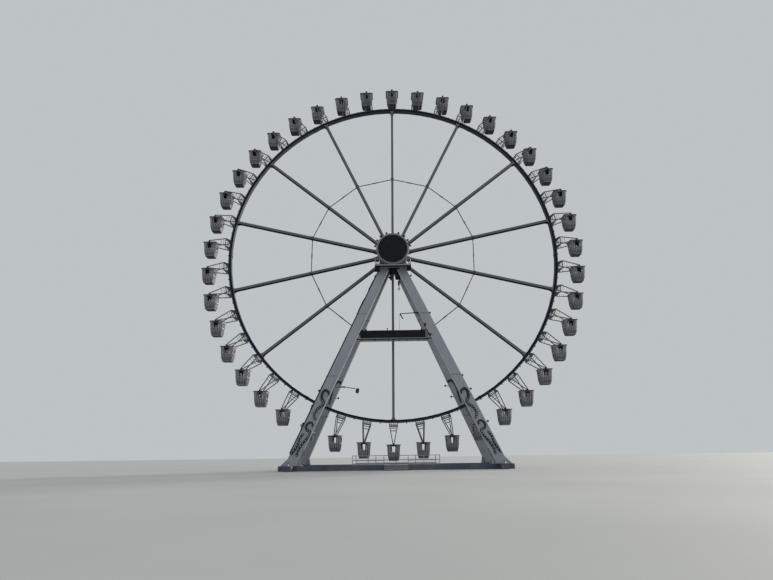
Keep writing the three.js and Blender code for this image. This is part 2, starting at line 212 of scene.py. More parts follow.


# %% [markdown]
# The wheel's spokes are grey on their front and back, and their sides carry a painted shade, nearly black.
# The legs are a cooler, lighter grey, and their sides carry a painted shade of darker grey. Dust settles as
# a slightly different tone over each paint, and bare metal shows at the rubbed edges of the bearing heads
# and the ground frame.

# %% Paints and metals
bare_metal = (0.34, 0.33, 0.31)
# Painted shade: these darker colours go on the sides of the spokes and the legs.
spoke_side_shade = (0.005, 0.005, 0.006)
leg_side_shade = (0.12, 0.118, 0.108)
spoke_grey = weathered(
    "spoke_grey", (0.15, 0.155, 0.165), (0.185, 0.185, 0.183), 0.6, streak=0.2, gloss=0.01, sides=spoke_side_shade
)
leg_grey = weathered("leg_grey", (0.28, 0.31, 0.35), (0.35, 0.365, 0.38), sides=leg_side_shade)
head_grey = weathered("head_grey", (0.22, 0.235, 0.255), (0.29, 0.295, 0.3), streak=0.3, wear=bare_metal)
base_paint = weathered(
    "base_paint", (0.05, 0.07, 0.11), (0.13, 0.13, 0.125), 0.55, streak=0.4, wear=bare_metal, patch=1.1
)
zinc = weathered("zinc", (0.36, 0.37, 0.38), (0.45, 0.45, 0.44), 0.42, metallic=0.7, streak=0.15, patch=4.0)
bolt_steel = weathered(
    "bolt_steel", (0.3, 0.3, 0.31), (0.2, 0.19, 0.17), 0.38, metallic=0.85, streak=0.1, patch=6.0
)
dark_steel = weathered("dark_steel", (0.012, 0.013, 0.016), (0.03, 0.03, 0.03), 0.55, streak=0.2, gloss=0.25)
roof_grey = weathered(
    "roof_grey", (0.035, 0.037, 0.04), (0.06, 0.06, 0.06), metallic=0.1, streak=0.15, patch=2.5
)
shell_grey = weathered("shell_grey", (0.2, 0.205, 0.225), (0.28, 0.275, 0.275), 0.45, streak=0.4, patch=2.2)
skirt_grey = weathered("skirt_grey", (0.14, 0.147, 0.165), (0.2, 0.2, 0.205), 0.55, patch=2.2, gloss=0.3)
post_dark = weathered("post_dark", (0.03, 0.03, 0.033), (0.06, 0.057, 0.055), 0.55, patch=3.0, gloss=0.3)
# Painted shade: near-black for the cabin's floor pan and for the apron under its bench.
underside_shade = weathered(
    "underside_shade", (0.02, 0.022, 0.024), (0.045, 0.043, 0.04), 0.7, streak=0.1, patch=3.0
)
trim_pale = weathered("trim_pale", (0.3, 0.31, 0.32), (0.38, 0.375, 0.36), 0.4, streak=0.2, patch=3.0)
bracket_grey = weathered("bracket_grey", (0.13, 0.134, 0.138), (0.18, 0.18, 0.175), patch=2.0, gloss=0.3)
channel_grey = weathered(
    "channel_grey", (0.06, 0.063, 0.085), (0.085, 0.086, 0.1), 0.55, patch=1.5, gloss=0.3
)
bezel_grey = weathered("bezel_grey", (0.18, 0.185, 0.2), (0.22, 0.22, 0.23), patch=2.0, gloss=0.15)
scroll_blue = weathered(
    "scroll_blue", (0.014, 0.02, 0.032), (0.03, 0.036, 0.048), 0.45, patch=3.0, gloss=0.3
)
# Painted highlight: a pale paint for the tubes on the sunlit inner edges of the front legs.
tube_pale_highlight = weathered("tube_pale_highlight", (0.46, 0.49, 0.54), (0.52, 0.54, 0.58), patch=2.0, gloss=0.15)
cable_black = weathered(
    "cable_black", (0.01, 0.01, 0.011), (0.02, 0.02, 0.02), 0.6, streak=0.1, patch=5.0, gloss=0.1
)
print("paints:", len(bpy.data.materials))

# %% [markdown]
# The rim is one box section with three finishes on it. Its front and back are navy and the face that looks
# in at the hub is a dull grey. The distance from the axle, worked out from Object coordinates, tells which
# face a point is on, and the brackets outside the rim are plain grey steel.

# %% Rim finish
def rim_finish():
    """Navy box rim, grey inside face and grey brackets, told apart by their distance from the axle."""
    grey_to_navy = (10.917, 10.93)
    navy_to_steel = (11.101, 11.105)
    material, tree, shader, coords = blank_material("rim_navy")
    from_axle = vector_math(tree, "MULTIPLY", vector_math(tree, "SUBTRACT", coords, hub), (1, 0, 1))
    radius = vector_math(tree, "LENGTH", from_axle, result="Value")
    patches = fade(tree, noise(tree, coords, 0.9), 0.35, 0.75)
    navy = blend_colours(tree, patches, (0.006, 0.008, 0.026), (0.01, 0.013, 0.036))
    grey = blend_colours(tree, patches, (0.038, 0.041, 0.049), (0.056, 0.058, 0.066))
    steel = blend_colours(tree, patches, (0.14, 0.146, 0.15), (0.195, 0.195, 0.19))
    rim = blend_colours(tree, fade(tree, radius, *grey_to_navy), grey, navy)
    finish = blend_colours(tree, fade(tree, radius, *navy_to_steel), rim, steel)
    finish = blend_colours(tree, product(tree, edge_wear(tree, 0.01), 0.12), finish, (0.2, 0.2, 0.21))
    roughness = fade(tree, patches, 0, 1, 0.45, 0.6)
    set_inputs(tree, shader, {"Base Color": finish, "Roughness": roughness, "Specular IOR Level": 0.04})
    bump(tree, shader, noise(tree, coords, 60.0), 0.002)
    return material


rim_navy = rim_finish()

# %% [markdown]
# The round screen and the sign are dark light panels, built of square modules with fine seams. A brick
# texture with no offset draws the modules, laid in the upright plane by turning its coordinates. The
# modules differ a little from one another, as real ones do, and each is glossy enough for a soft reflection.

# %% Panel finish
def panel_finish(name, module, seam=0.006):
    """Dark light modules with seams, in the XZ plane."""
    material, tree, shader, coords = blank_material(name)
    upright = add_node(tree, "ShaderNodeMapping", {"Vector": coords, "Rotation": (math.pi / 2, 0, 0)})
    colours = {"Color1": (0.0045, 0.0045, 0.0055, 1), "Color2": (0.0065, 0.0065, 0.0075, 1)}
    sizes = {"Scale": 1.0, "Mortar Size": seam, "Brick Width": module, "Row Height": module}
    values = {"Vector": upright.outputs["Vector"], "Mortar": (0.002, 0.002, 0.0025, 1), **colours, **sizes}
    bricks = add_node(tree, "ShaderNodeTexBrick", values, offset=0.0, squash=1.0)
    dusty = product(tree, fade(tree, noise(tree, coords, 1.6), 0.45, 0.8), 0.35)
    finish = blend_colours(tree, dusty, bricks.outputs["Color"], (0.014, 0.014, 0.015))
    roughness = fade(tree, noise(tree, coords, 3.0), 0.3, 0.7, 0.45, 0.62)
    set_inputs(tree, shader, {"Base Color": finish, "Roughness": roughness, "Specular IOR Level": 0.2})
    bump(tree, shader, bricks.outputs["Fac"], -0.002, 0.5)
    return material


screen_dark = panel_finish("screen_dark", module=0.16)
sign_dark = panel_finish("sign_dark", module=0.25)

# %% [markdown]
# A boarding deck is made of chequer plate, whose raised bars give a grip. Two sets of diagonal waves, of
# which only the crests count, make a relief of short crossing bars, and the crests are rubbed bright. The
# windows are hazy plastic, the lamps have milky covers, and the benches are varnished timber.

# %% Deck, windows, lamps and benches
def chequer_finish():
    """Aluminium chequer plate."""
    material, tree, shader, coords = blank_material("chequer_plate")
    crests = []
    for turn in (math.pi / 4, -math.pi / 4):
        turned = {"Vector": coords, "Rotation": (0, 0, turn), "Scale": (14, 5, 14)}
        across = add_node(tree, "ShaderNodeMapping", turned).outputs["Vector"]
        values = {"Vector": across, "Scale": 1.0, "Distortion": 0.0}
        crests.append(add_node(tree, "ShaderNodeTexWave", values, wave_type="BANDS").outputs["Fac"])
    highest = add_node(tree, "ShaderNodeMath", dict(enumerate(crests)), operation="MAXIMUM")
    bars = fade(tree, highest.outputs["Value"], 0.82, 0.95)
    grime = fade(tree, noise(tree, coords, 1.2), 0.4, 0.75)
    plate = blend_colours(tree, grime, (0.3, 0.3, 0.31), (0.17, 0.165, 0.155))
    finish = blend_colours(tree, product(tree, bars, 0.6), plate, (0.48, 0.48, 0.48))
    roughness = fade(tree, bars, 0, 1, 0.55, 0.3)
    set_inputs(tree, shader, {"Base Color": finish, "Metallic": 0.75, "Roughness": roughness})
    bump(tree, shader, bars, 0.003, 0.7)
    return material


def window_finish():
    """Scratched, smoky sheet that lets some of the sky through."""
    material, tree, shader, coords = blank_material("window_haze")
    clouds = fade(tree, noise(tree, coords, 5.0), 0.3, 0.75)
    colour = blend_colours(tree, clouds, (0.5, 0.47, 0.48), (0.66, 0.62, 0.61))
    set_inputs(tree, shader, {"Base Color": colour, "Roughness": fade(tree, clouds, 0, 1, 0.2, 0.38)})
    set_inputs(tree, shader, {"Transmission Weight": 0.6, "IOR": 1.3})
    bump(tree, shader, noise(tree, coords, 24.0, (1, 1, 0.1)), 0.001, 0.3)
    return material


def lamp_finish():
    """Milky lamp cover, switched off by day, with a faint speckle from its moulding."""
    material, tree, shader, coords = blank_material("lamp_cover")
    speckle = fade(tree, noise(tree, coords, 40.0), 0.35, 0.7)
    colour = blend_colours(tree, speckle, (0.5, 0.5, 0.48), (0.64, 0.64, 0.61))
    set_inputs(tree, shader, {"Base Color": colour, "Roughness": fade(tree, speckle, 0, 1, 0.2, 0.32)})
    set_inputs(tree, shader, {"Subsurface Weight": 0.1})
    bump(tree, shader, noise(tree, coords, 90.0), 0.001, 0.3)
    return material


def slat_finish():
    """Varnished timber with a fine level grain."""
    material, tree, shader, coords = blank_material("bench_timber")
    grain = fade(tree, noise(tree, coords, 30.0, (0.2, 0.2, 3.0), 6.0), 0.3, 0.7)
    colour = blend_colours(tree, grain, (0.16, 0.085, 0.04), (0.27, 0.16, 0.08))
    set_inputs(tree, shader, {"Base Color": colour, "Roughness": fade(tree, grain, 0, 1, 0.32, 0.5)})
    bump(tree, shader, grain, 0.001, 0.4)
    return material


chequer_plate = chequer_finish()
window_haze = window_finish()
lamp_cover = lamp_finish()
bench_timber = slat_finish()

# %% [markdown]
# The CAD nodes whose shape is right stay as they are and only get a finish. A finish is given to the slots
# of a node's mesh, and the mesh itself isn't touched.

# %% Finishes on the CAD nodes
finish_of = {
    "spoke_frame": spoke_grey,
    "front_head": head_grey,
    "back_head": head_grey,
    "back_tie_beam": leg_grey,
    "round_screen": screen_dark,
    "front_sign_beam": sign_dark,
    "base_frame": base_paint,
    "boarding_deck": chequer_plate,
}
for name, node in frame["nodes"].items():
    finish = finish_of.get(name)
    if name.startswith("rim_arc_"):
        finish = rim_navy
    elif name.endswith("_leg"):
        finish = leg_grey
    elif name.startswith("cabin_"):
        finish = shell_grey
    node.data.materials.clear()
    node.data.materials.append(finish)
print("finished CAD nodes:", len(frame["nodes"]))

# %% [markdown]
# A few moves come back for every piece: select one object alone, open it in edit mode with some of its faces
# selected, put its place into its mesh, and lay copies round the wheel. They are written once here. Faces
# are always chosen by where they are or which way they look, never by a number in a list.

# %% Helpers for modelling
def only(piece):
    """Selects one piece alone and makes it the active one."""
    bpy.ops.object.select_all(action="DESELECT")
    piece.select_set(True)
    bpy.context.view_layer.objects.active = piece


def fresh(add_primitive, **settings):
    """Adds a primitive with nothing else selected."""
    bpy.ops.object.select_all(action="DESELECT")
    add_primitive(**settings)
    return bpy.context.active_object


def duplicate(piece):
    """A copy of a piece with a mesh of its own."""
    copy = piece.copy()
    copy.data = piece.data.copy()
    bpy.context.collection.objects.link(copy)
    return copy


def settle(piece, name=None):
    """Puts a piece's place, turn and size into its mesh, and names it."""
    only(piece)
    bpy.ops.object.transform_apply(location=True, rotation=True, scale=True)
    if name:
        piece.name = name
    return piece


def pick(piece, test=lambda face: True):
    """Opens a piece in edit mode with only the faces that pass the test selected, or all of them."""
    only(piece)
    bpy.ops.object.mode_set(mode="EDIT")
    bpy.ops.mesh.select_mode(type="FACE")
    bpy.ops.mesh.select_all(action="DESELECT")
    bpy.ops.object.mode_set(mode="OBJECT")
    for face in piece.data.polygons:
        face.select = bool(test(face))
    bpy.ops.object.mode_set(mode="EDIT")


def done(piece, smooth=30):
    """Leaves edit mode, points the faces outwards and smooths the gentle edges."""
    if bpy.context.mode != "OBJECT":
        bpy.ops.object.mode_set(mode="OBJECT")
    only(piece)
    bpy.ops.object.mode_set(mode="EDIT")
    bpy.ops.mesh.select_all(action="SELECT")
    bpy.ops.mesh.normals_make_consistent(inside=False)
    bpy.ops.object.mode_set(mode="OBJECT")
    bpy.ops.object.shade_smooth_by_angle(angle=math.radians(smooth))
    return piece


def block(name, low, high, rounding=0.005, segments=1):
    """A box between two corners, with its edges taken off."""
    low, high = Vector(low), Vector(high)
    piece = fresh(bpy.ops.mesh.primitive_cube_add, size=1, location=(low + high) / 2)
    piece.scale = high - low
    settle(piece, name)
    pick(piece)
    bpy.ops.mesh.bevel(offset=rounding, segments=segments, affect="EDGES")
    return done(piece)


def bar(name, start, end, radius, sides=10, cap=0.3):
    """A round bar from one point to another, with the edges of its ends taken off."""
    start, end = Vector(start), Vector(end)
    sizes = {"vertices": sides, "radius": radius, "depth": (end - start).length}
    piece = fresh(bpy.ops.mesh.primitive_cylinder_add, location=(start + end) / 2, **sizes)
    piece.rotation_mode = "QUATERNION"
    piece.rotation_quaternion = (end - start).to_track_quat("Z", "Y")
    settle(piece, name)
    if cap:
        pick(piece, lambda face: len(face.vertices) > 4)
        bpy.ops.mesh.bevel(offset=cap * radius, segments=1, affect="EDGES")
    return done(piece)


def ring_of_wire(name, centre, radius, wire, steps, sides, turn=(0, 0, 0)):
    """A ring bent from round wire."""
    sizes = {"major_radius": radius, "minor_radius": wire, "major_segments": steps, "minor_segments": sides}
    return settle(fresh(bpy.ops.mesh.primitive_torus_add, location=centre, rotation=turn, **sizes), name)


def loft(name, sides, rings):
    """A solid of revolution: a disc is extruded upwards and resized at each ring (radius, height)."""
    radius, height = rings[0]
    disc = {"vertices": sides, "radius": radius, "fill_type": "NGON", "location": (0, 0, height)}
    piece = settle(fresh(bpy.ops.mesh.primitive_circle_add, **disc), name)
    pick(piece)
    for next_radius, next_height in rings[1:]:
        bpy.ops.mesh.extrude_region_move(TRANSFORM_OT_translate={"value": (0, 0, next_height - height)})
        growth = next_radius / radius
        bpy.ops.transform.resize(value=(growth, growth, 1), center_override=(0, 0, next_height))
        radius, height = next_radius, next_height
    return done(piece)


def facing(piece, direction, place):
    """Turns a piece made upright so that its top looks along a direction, and moves it to a place."""
    piece.rotation_mode = "QUATERNION"
    piece.rotation_quaternion = Vector(direction).to_track_quat("Z", "Y")
    piece.location = place
    return settle(piece)


def paint_on(piece, material):
    """Gives a piece one material."""
    piece.data.materials.clear()
    piece.data.materials.append(material)
    return piece


def join_all(pieces, name):
    """Joins several pieces into one, keeping their materials."""
    only(pieces[0])
    for piece in pieces[1:]:
        piece.select_set(True)
    if len(pieces) > 1:
        bpy.ops.object.join()
    pieces[0].name = name
    return pieces[0]


def copies(piece, places, name):
    """Copies a piece to each place, a matrix, and joins the copies. The first piece is used up."""
    made = []
    for place in places:
        copy = duplicate(piece)
        copy.data.transform(place)
        made.append(copy)
    bpy.data.objects.remove(piece)
    return join_all(made, name)


def front_and_back(piece, reach, radius):
    """An upright piece laid on the front and the back of something above the hub."""
    pair = [facing(duplicate(piece), (0, side, 0), (0, side * reach, radius)) for side in (-1, 1)]
    bpy.data.objects.remove(piece)
    return join_all(pair, "pair")


def fit(piece, body):
    """Hands a finished piece to its CAD body and prints how many faces it has."""
    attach(piece, body)
    print(f"{piece.name}: {len(piece.data.polygons)} faces on {body}")
    return piece


first_pivot = joint_at[f"{cabin_names[0]}_swing"] - hub
pivot_radius = first_pivot.length
rest_turn = math.atan2(first_pivot.x, first_pivot.z)
print("the wheel rests turned by", round(math.degrees(rest_turn), 2), "degrees")


def on_wheel(angle):
    """From a place above the hub, with Z outwards, to the same place at an angle round the wheel."""
    return Matrix.Translation(hub) @ Matrix.Rotation(rest_turn + angle, 4, "Y")


bays = 14
half_bay = math.pi / bays
bay_angles = [2 * math.pi * i / bays for i in range(bays)]
cabin_step = 2 * math.pi / len(cabin_names)
for_each_spoke = [on_wheel(angle) for angle in bay_angles]
for_each_cabin = [on_wheel(cabin_step * i) for i in range(len(cabin_names))]

# %% [markdown]
# Each spoke ends in a flared gusset plate on its front and its back, which spreads the load into the rim.
# A narrow grid is the start. Its rows are widened towards the rim by a curve, which gives the hollow sides
# of a real gusset, and then the plate gets its thickness by an extrusion.

# %% Gussets at the rim and plates at the hub
spoke_half = 0.0775
spoke_face = 0.18
gusset_plate = 0.016
cheek_plate = 0.024


def gusset(name, near, far, near_half, far_half, power, thickness):
    """A plate on a spoke's front and its mirror image on the back, with sides that follow a power curve.

    It reaches from radius near to far, and near_half and far_half are its half widths there.
    """
    plate = fresh(bpy.ops.mesh.primitive_grid_add, x_subdivisions=1, y_subdivisions=8, size=1)
    plate.rotation_euler.x = math.pi / 2
    plate.scale = (2, far - near, 1)
    plate.location = (0, -spoke_face, (near + far) / 2)
    settle(plate, name)
    for vertex in plate.data.vertices:
        share = max(0.0, (vertex.co.z - near) / (far - near))
        vertex.co.x *= near_half + (far_half - near_half) * share**power
    pick(plate)
    bpy.ops.mesh.extrude_region_move(TRANSFORM_OT_translate={"value": (0, -thickness, 0)})
    done(plate, 20)
    mirrored = duplicate(plate)
    mirrored.scale.y = -1
    settle(mirrored)
    return paint_on(join_all([plate, done(mirrored, 20)], name), spoke_grey)


rim_gusset = gusset(
    "gusset", near=10.7, far=10.904, near_half=spoke_half + 0.003, far_half=0.165, power=2.2,
    thickness=gusset_plate,
)
fit(copies(rim_gusset, for_each_spoke, "rim_gussets"), "wheel")
hub_cheek = gusset(
    "cheek", near=0.9, far=1.3, near_half=0.16, far_half=spoke_half + 0.004, power=0.7, thickness=cheek_plate
)
fit(copies(hub_cheek, for_each_spoke, "hub_cheeks"), "wheel")

# %% [markdown]
# Bolts hold the gussets, the cheeks, the hub's flanges and the joints of the rim. A bolt is a six-sided head
# on a washer, both with their edges taken off. It is made once for each group, and the others are copies.

# %% Bolts
def scaled_rings(size, *rings):
    """Rings for a loft, each (radius, height), made larger or smaller."""
    return [(radius * size, height * size) for radius, height in rings]


def bolt(size):
    """A hexagon head on a washer, made lying on the ground and looking up."""
    washer = loft("washer", 12, scaled_rings(size, (1.0, 0), (1.0, 0.16), (0.9, 0.2)))
    head = loft("head", 6, scaled_rings(size, (0.8, 0.19), (0.8, 0.62), (0.62, 0.72)))
    return paint_on(join_all([washer, head], "bolt"), bolt_steel)


def bolts_at(name, size, points, direction):
    """Bolts of one size at several points, all looking the same way."""
    turn = Vector(direction).to_track_quat("Z", "Y").to_matrix().to_4x4()
    return copies(bolt(size), [Matrix.Translation(Vector(point)) @ turn for point in points], name)


flange_radius = 0.87
flange_face = 0.25
flange_x, flange_z = flange_radius * math.sin(half_bay), flange_radius * math.cos(half_bay)
hub_bolts = []
rim_bolts = []
for side in (-1, 1):
    flange_spot = (flange_x, side * flange_face, flange_z)
    hub_bolts.append(bolts_at("flange_bolt", 0.035, [flange_spot], (0, side, 0)))
    cheek = [(x, side * (spoke_face + cheek_plate), z) for x in (-0.05, 0.05) for z in (1.02, 1.16)]
    hub_bolts.append(bolts_at("cheek_bolts", 0.022, cheek, (0, side, 0)))
    plate_y = side * (spoke_face + gusset_plate)
    spots = [(x, plate_y, 10.88) for x in (-0.105, 0.105)]
    spots += [(x, plate_y, z) for x in (-0.045, 0.045) for z in (10.75, 10.83)]
    rim_bolts.append(bolts_at("rim_bolts", 0.017, spots, (0, side, 0)))
fit(copies(join_all(hub_bolts, "bolts"), for_each_spoke, "hub_bolts"), "wheel")
fit(copies(join_all(rim_bolts, "bolts"), for_each_spoke, "rim_bolts"), "wheel")

# %% [markdown]
# The thin ring between the spokes is held at each spoke by a clamp: a round plate with a boss. Every rod has
# a dark sleeve, and halfway along it sits a turnbuckle, the long nut that tightens it.

# %% Clamps and turnbuckles of the tie rods
tie_radius = 5.615
clamp = loft("clamp", 16, [(0.1, 0), (0.1, 0.02), (0.09, 0.03), (0.05, 0.032), (0.045, 0.07), (0.03, 0.08)])
clamp_pair = paint_on(front_and_back(clamp, spoke_face, tie_radius), spoke_grey)
fit(copies(clamp_pair, for_each_spoke, "tie_clamps"), "wheel")


def rod_piece(name, middle, half_length, radius, sides, cap=0.3):
    """A bar along the topmost tie rod."""
    height = tie_radius * math.cos(half_bay)
    start, end = (middle - half_length, 0, height), (middle + half_length, 0, height)
    return bar(name, start, end, radius, sides, cap)


buckle = [rod_piece("buckle", 0, 0.16, 0.042, 6, 0.35)]
buckle += [rod_piece("eye", x, 0.03, 0.034, 8) for x in (-0.2, 0.2)]
buckle = paint_on(join_all(buckle, "buckle"), channel_grey)
rod_end = tie_radius * math.sin(half_bay) - spoke_half - 0.006
sleeve = paint_on(rod_piece("sleeve", 0, rod_end, 0.029, 8, 0), dark_steel)
between_spokes = [on_wheel(angle + half_bay) for angle in bay_angles]
tie_rod_dress = copies(join_all([buckle, sleeve], "rod"), between_spokes, "tie_rod_dress")
fit(tie_rod_dress, "wheel")

# %% [markdown]
# Near the outer edge of the rim's front runs a narrow light channel, and a small round lamp stands on the
# outside of the rim between each pair of cabins. The channel is a small square that a spin carries once
# round the axle. A lamp is a short stepped cup with a domed, milky cover.

# %% Light channel and lamps on the rim
rim_face = 0.18
channel_radius, channel_width = 11.045, 0.04
channel_front, channel_back = -rim_face - 0.014, -rim_face + 0.004


def spun_ring(name, radius, width, y_near, y_far, steps):
    """A ring of square section about the hub: a square face carried round the axle by a spin."""
    depth = abs(y_far - y_near)
    ring = fresh(bpy.ops.mesh.primitive_plane_add, size=1)
    ring.rotation_euler.y = math.pi / 2
    ring.scale = (width, depth, 1)
    ring.location = (0, (y_near + y_far) / 2, radius)
    settle(ring, name)
    pick(ring)
    bpy.ops.mesh.bevel(offset=0.2 * min(width, depth), segments=2, affect="VERTICES")
    bpy.ops.mesh.select_all(action="SELECT")
    bpy.ops.mesh.spin(steps=steps, dupli=False, angle=2 * math.pi, center=(0, 0, 0), axis=(0, 1, 0))
    bpy.ops.mesh.select_all(action="SELECT")
    bpy.ops.mesh.remove_doubles(threshold=0.0005)
    bpy.ops.object.mode_set(mode="OBJECT")
    pick(ring, lambda face: abs(face.normal.y) < 1e-4 and abs(face.center.x) < 1e-4 and face.center.z > 0)
    bpy.ops.mesh.delete(type="FACE")
    ring.location = hub
    done(ring, 40)
    return settle(ring)


channel = spun_ring("rim_light_channel", channel_radius, channel_width, channel_front, channel_back, 168)
fit(paint_on(channel, channel_grey), "wheel")

cup = loft("cup", 10, [(0.045, 0), (0.045, 0.02), (0.03, 0.032), (0.03, 0.055), (0.034, 0.06)])
dome = loft("dome", 10, [(0.032, 0.058), (0.03, 0.075), (0.018, 0.088)])
rim_lamp = join_all([paint_on(cup, dark_steel), paint_on(dome, lamp_cover)], "lamp")
lamp_spot = Matrix.Translation((0, -0.09, 11.088))
lamp_places = [on_wheel(cabin_step * (i + 0.5)) @ lamp_spot for i in range(len(cabin_names))]
fit(copies(rim_lamp, lamp_places, "rim_lamps"), "wheel")

# %% [markdown]
# Where two arcs of the rim meet, each has a flange, and the two are bolted face to face. A flange is a plate
# a little larger than the rim's section.

# %% Flanges where the rim's arcs meet
arcs = 6
plate_low, plate_high = (-0.026, -0.205, 10.882), (0.026, 0.205, 11.118)
splice = paint_on(block("splice", plate_low, plate_high, 0.006), rim_navy)
splice_spots = [(y, z) for y in (-0.192, 0.192) for z in (10.95, 11.05)]
splice_bolts = [
    bolts_at("splice_bolts", 0.016, [(side * 0.026, y, z) for y, z in splice_spots], (side, 0, 0))
    for side in (-1, 1)
]
splice = join_all([splice, *splice_bolts], "splice")
arc_ends = [on_wheel(2 * math.pi * (i + 0.5) / arcs) for i in range(arcs)]
fit(copies(splice, arc_ends, "rim_splices"), "wheel")

# %% [markdown]
# A cabin's bar turns in two bearings, one in the tip of each bracket frame. From outside a bearing is a
# round stepped housing with a domed cap.

# %% Bearings in the brackets
frame_outer = 0.56
housing_rings = [(0.047, 0), (0.047, 0.014), (0.042, 0.02), (0.03, 0.022), (0.028, 0.03), (0.016, 0.036)]
bearing = front_and_back(loft("housing", 12, housing_rings), frame_outer, pivot_radius)
fit(copies(paint_on(bearing, dark_steel), for_each_cabin, "cabin_bearings"), "wheel")

# %% [markdown]
# Near its foot each side of a bracket has two rungs between its arms, and a small grating fills the gap
# between the rim and the knees. From the ground they read as the ladder-like patch at the foot of a bracket.

# %% Rungs and gratings in the brackets
def lattice():
    """Rungs and foot gratings of the bracket at the top of the wheel."""
    frame_middle = 0.535
    rung_places = ((11.42, 0.215), (11.58, 0.18))
    rung_radius, rod_radius = 0.013, 0.011
    rods = []
    for side in (-1, 1):
        for radius, half in rung_places:
            low = Vector((-half, side * frame_middle, radius))
            rods.append(bar("rung", low, low + Vector((2 * half, 0, 0)), rung_radius, 6, 0))
        for x in (-0.13, 0.0, 0.13):
            rods.append(bar("rod", (x, side * 0.165, 11.094), (x, side * 0.53, 11.27), rod_radius, 6, 0))
        cross = (0.23, side * 0.36, 11.188)
        rods.append(bar("rod", (-cross[0], cross[1], cross[2]), cross, rod_radius, 6, 0))
    return paint_on(join_all(rods, "lattice"), bracket_grey)


fit(copies(lattice(), for_each_cabin, "bracket_lattice"), "wheel")

# %% [markdown]
# The cabin is the piece that is seen most often, so it gets the most care. The real one is a tub with four
# broad walls and four narrow ones at its corners, drawn in to a small floor, which is painted near-black as
# a painted shade. It has hazy panels above the waist, ribbed ones below it, an open hatch at the front and
# back, and a thin flat roof that overhangs the tub. A rectangle with cut corners is extruded upwards and
# resized ring by ring, the middles of the upper faces are taken out, and a Solidify modifier gives the wall
# its thickness.

# %% Cabin shell
body_half = (0.41, 0.465)
body_cut = 0.095
floor_z, knee_z, waist_z, roof_low = -1.0, -0.74, -0.52, -0.06
shell_foot = -0.985
skirt_low, skirt_high = -0.732, -0.54
pane_low, pane_high = -0.5, -0.1
floor_share, knee_share = 0.69, 0.87
wall = 0.022


def wall_share(z):
    """How wide the tub is at a height, as a share of its top: steep above the knee, drawn in below it."""
    if z < knee_z:
        return floor_share + (knee_share - floor_share) * (z - floor_z) / (knee_z - floor_z)
    return knee_share + (1 - knee_share) * (z - knee_z) / (roof_low - knee_z)


def tub_ring(z, out=0.0):
    """The tub's half width and half depth at a height, and the height."""
    return (body_half[0] * wall_share(z) + out, body_half[1] * wall_share(z) + out, z)


def in_band(low, high):
    """A test for broad walls whose middle lies between two heights."""
    def test(face):
        broad = max(abs(face.normal.x), abs(face.normal.y)) > 0.9
        return broad and low < face.center.z < high
    return test


def cut_plate(name, cut, rings):
    """Like a loft, from a rectangle with cut corners. Each ring is (half width, half depth, height)."""
    half_x, half_y, height = rings[0]
    plate = fresh(bpy.ops.mesh.primitive_plane_add, size=2, location=(0, 0, height))
    plate.scale = (half_x, half_y, 1)
    settle(plate, name)
    pick(plate)
    bpy.ops.mesh.bevel(offset=cut, segments=1, affect="VERTICES")
    bpy.ops.mesh.select_all(action="SELECT")
    for next_x, next_y, next_height in rings[1:]:
        centre = (0, 0, next_height)
        bpy.ops.mesh.extrude_region_move(TRANSFORM_OT_translate={"value": (0, 0, next_height - height)})
        bpy.ops.transform.resize(value=(next_x / half_x, next_y / half_y, 1), center_override=centre)
        half_x, half_y, height = next_x, next_y, next_height
    return done(plate)


def cabin_shell():
    """The wall of a cabin about its own pivot, with four window frames and a waist ledge."""
    rings = [tub_ring(z) for z in (shell_foot, -0.748, skirt_low, skirt_high)]
    rings += [tub_ring(z, 0.012) for z in (-0.534, -0.508)]
    rings += [tub_ring(z) for z in (pane_low, pane_high, roof_low - 0.002)]
    shell = cut_plate("shell", body_cut * wall_share(shell_foot), rings)
    pick(shell, lambda face: abs(face.normal.z) > 0.9)
    bpy.ops.mesh.delete(type="FACE")
    bpy.ops.object.mode_set(mode="OBJECT")
    pick(shell, in_band(pane_low, pane_high))
    bpy.ops.mesh.inset(thickness=0.026, use_individual=True)
    bpy.ops.mesh.delete(type="FACE")
    bpy.ops.object.mode_set(mode="OBJECT")
    pick(shell, in_band(skirt_low, skirt_high))
    bpy.ops.mesh.inset(thickness=0.018, depth=-0.006, use_individual=True)
    bpy.ops.object.mode_set(mode="OBJECT")
    only(shell)
    thicken = shell.modifiers.new("wall", "SOLIDIFY")
    thicken.thickness = wall
    thicken.offset = -1
    bpy.ops.object.modifier_apply(modifier="wall")
    paint_on(done(shell, 25), shell_grey)
    shell.data.materials.append(skirt_grey)
    for face in shell.data.polygons:
        if face.center.z < knee_z + 0.012:
            face.material_index = 1
    return shell


def cabin_floor():
    """The floor pan under the wall, painted near-black as a painted shade, and the pale edge strips at its
    front and back.
    """
    half_x, half_y, _ = tub_ring(shell_foot, 0.005)
    rings = [(half_x - 0.04, half_y - 0.04, floor_z), (half_x - 0.004, half_y - 0.004, floor_z + 0.003)]
    rings += [(half_x, half_y, -0.99), (half_x, half_y, -0.972), (half_x - 0.03, half_y - 0.03, -0.97)]
    # The pan is painted near-black, a painted shade under the cabin.
    pan = paint_on(cut_plate("pan", 0.06, rings), underside_shade)
    strips = []
    for y in (-half_y, half_y):
        low, high = (-half_x + 0.06, y - 0.004, -0.994), (half_x - 0.06, y + 0.004, -0.966)
        strips.append(paint_on(block("edge_strip", low, high), trim_pale))
    return join_all([pan, *strips], "pan")


def cabin_roof():
    """A thin flat roof with a rolled edge, and a shallow crown that lets the rain run off."""
    rings = [(0.435, 0.475, roof_low), (0.452, 0.492, -0.055), (0.455, 0.495, -0.047)]
    rings += [(0.455, 0.495, -0.027), (0.446, 0.486, -0.02)]
    rings += [(0.37, 0.41, -0.019), (0.27, 0.3, -0.007), (0.18, 0.2, -0.004)]
    return paint_on(cut_plate("roof", 0.08, rings), roof_grey)


print("half width at the waist", round(tub_ring(waist_z)[0], 3))

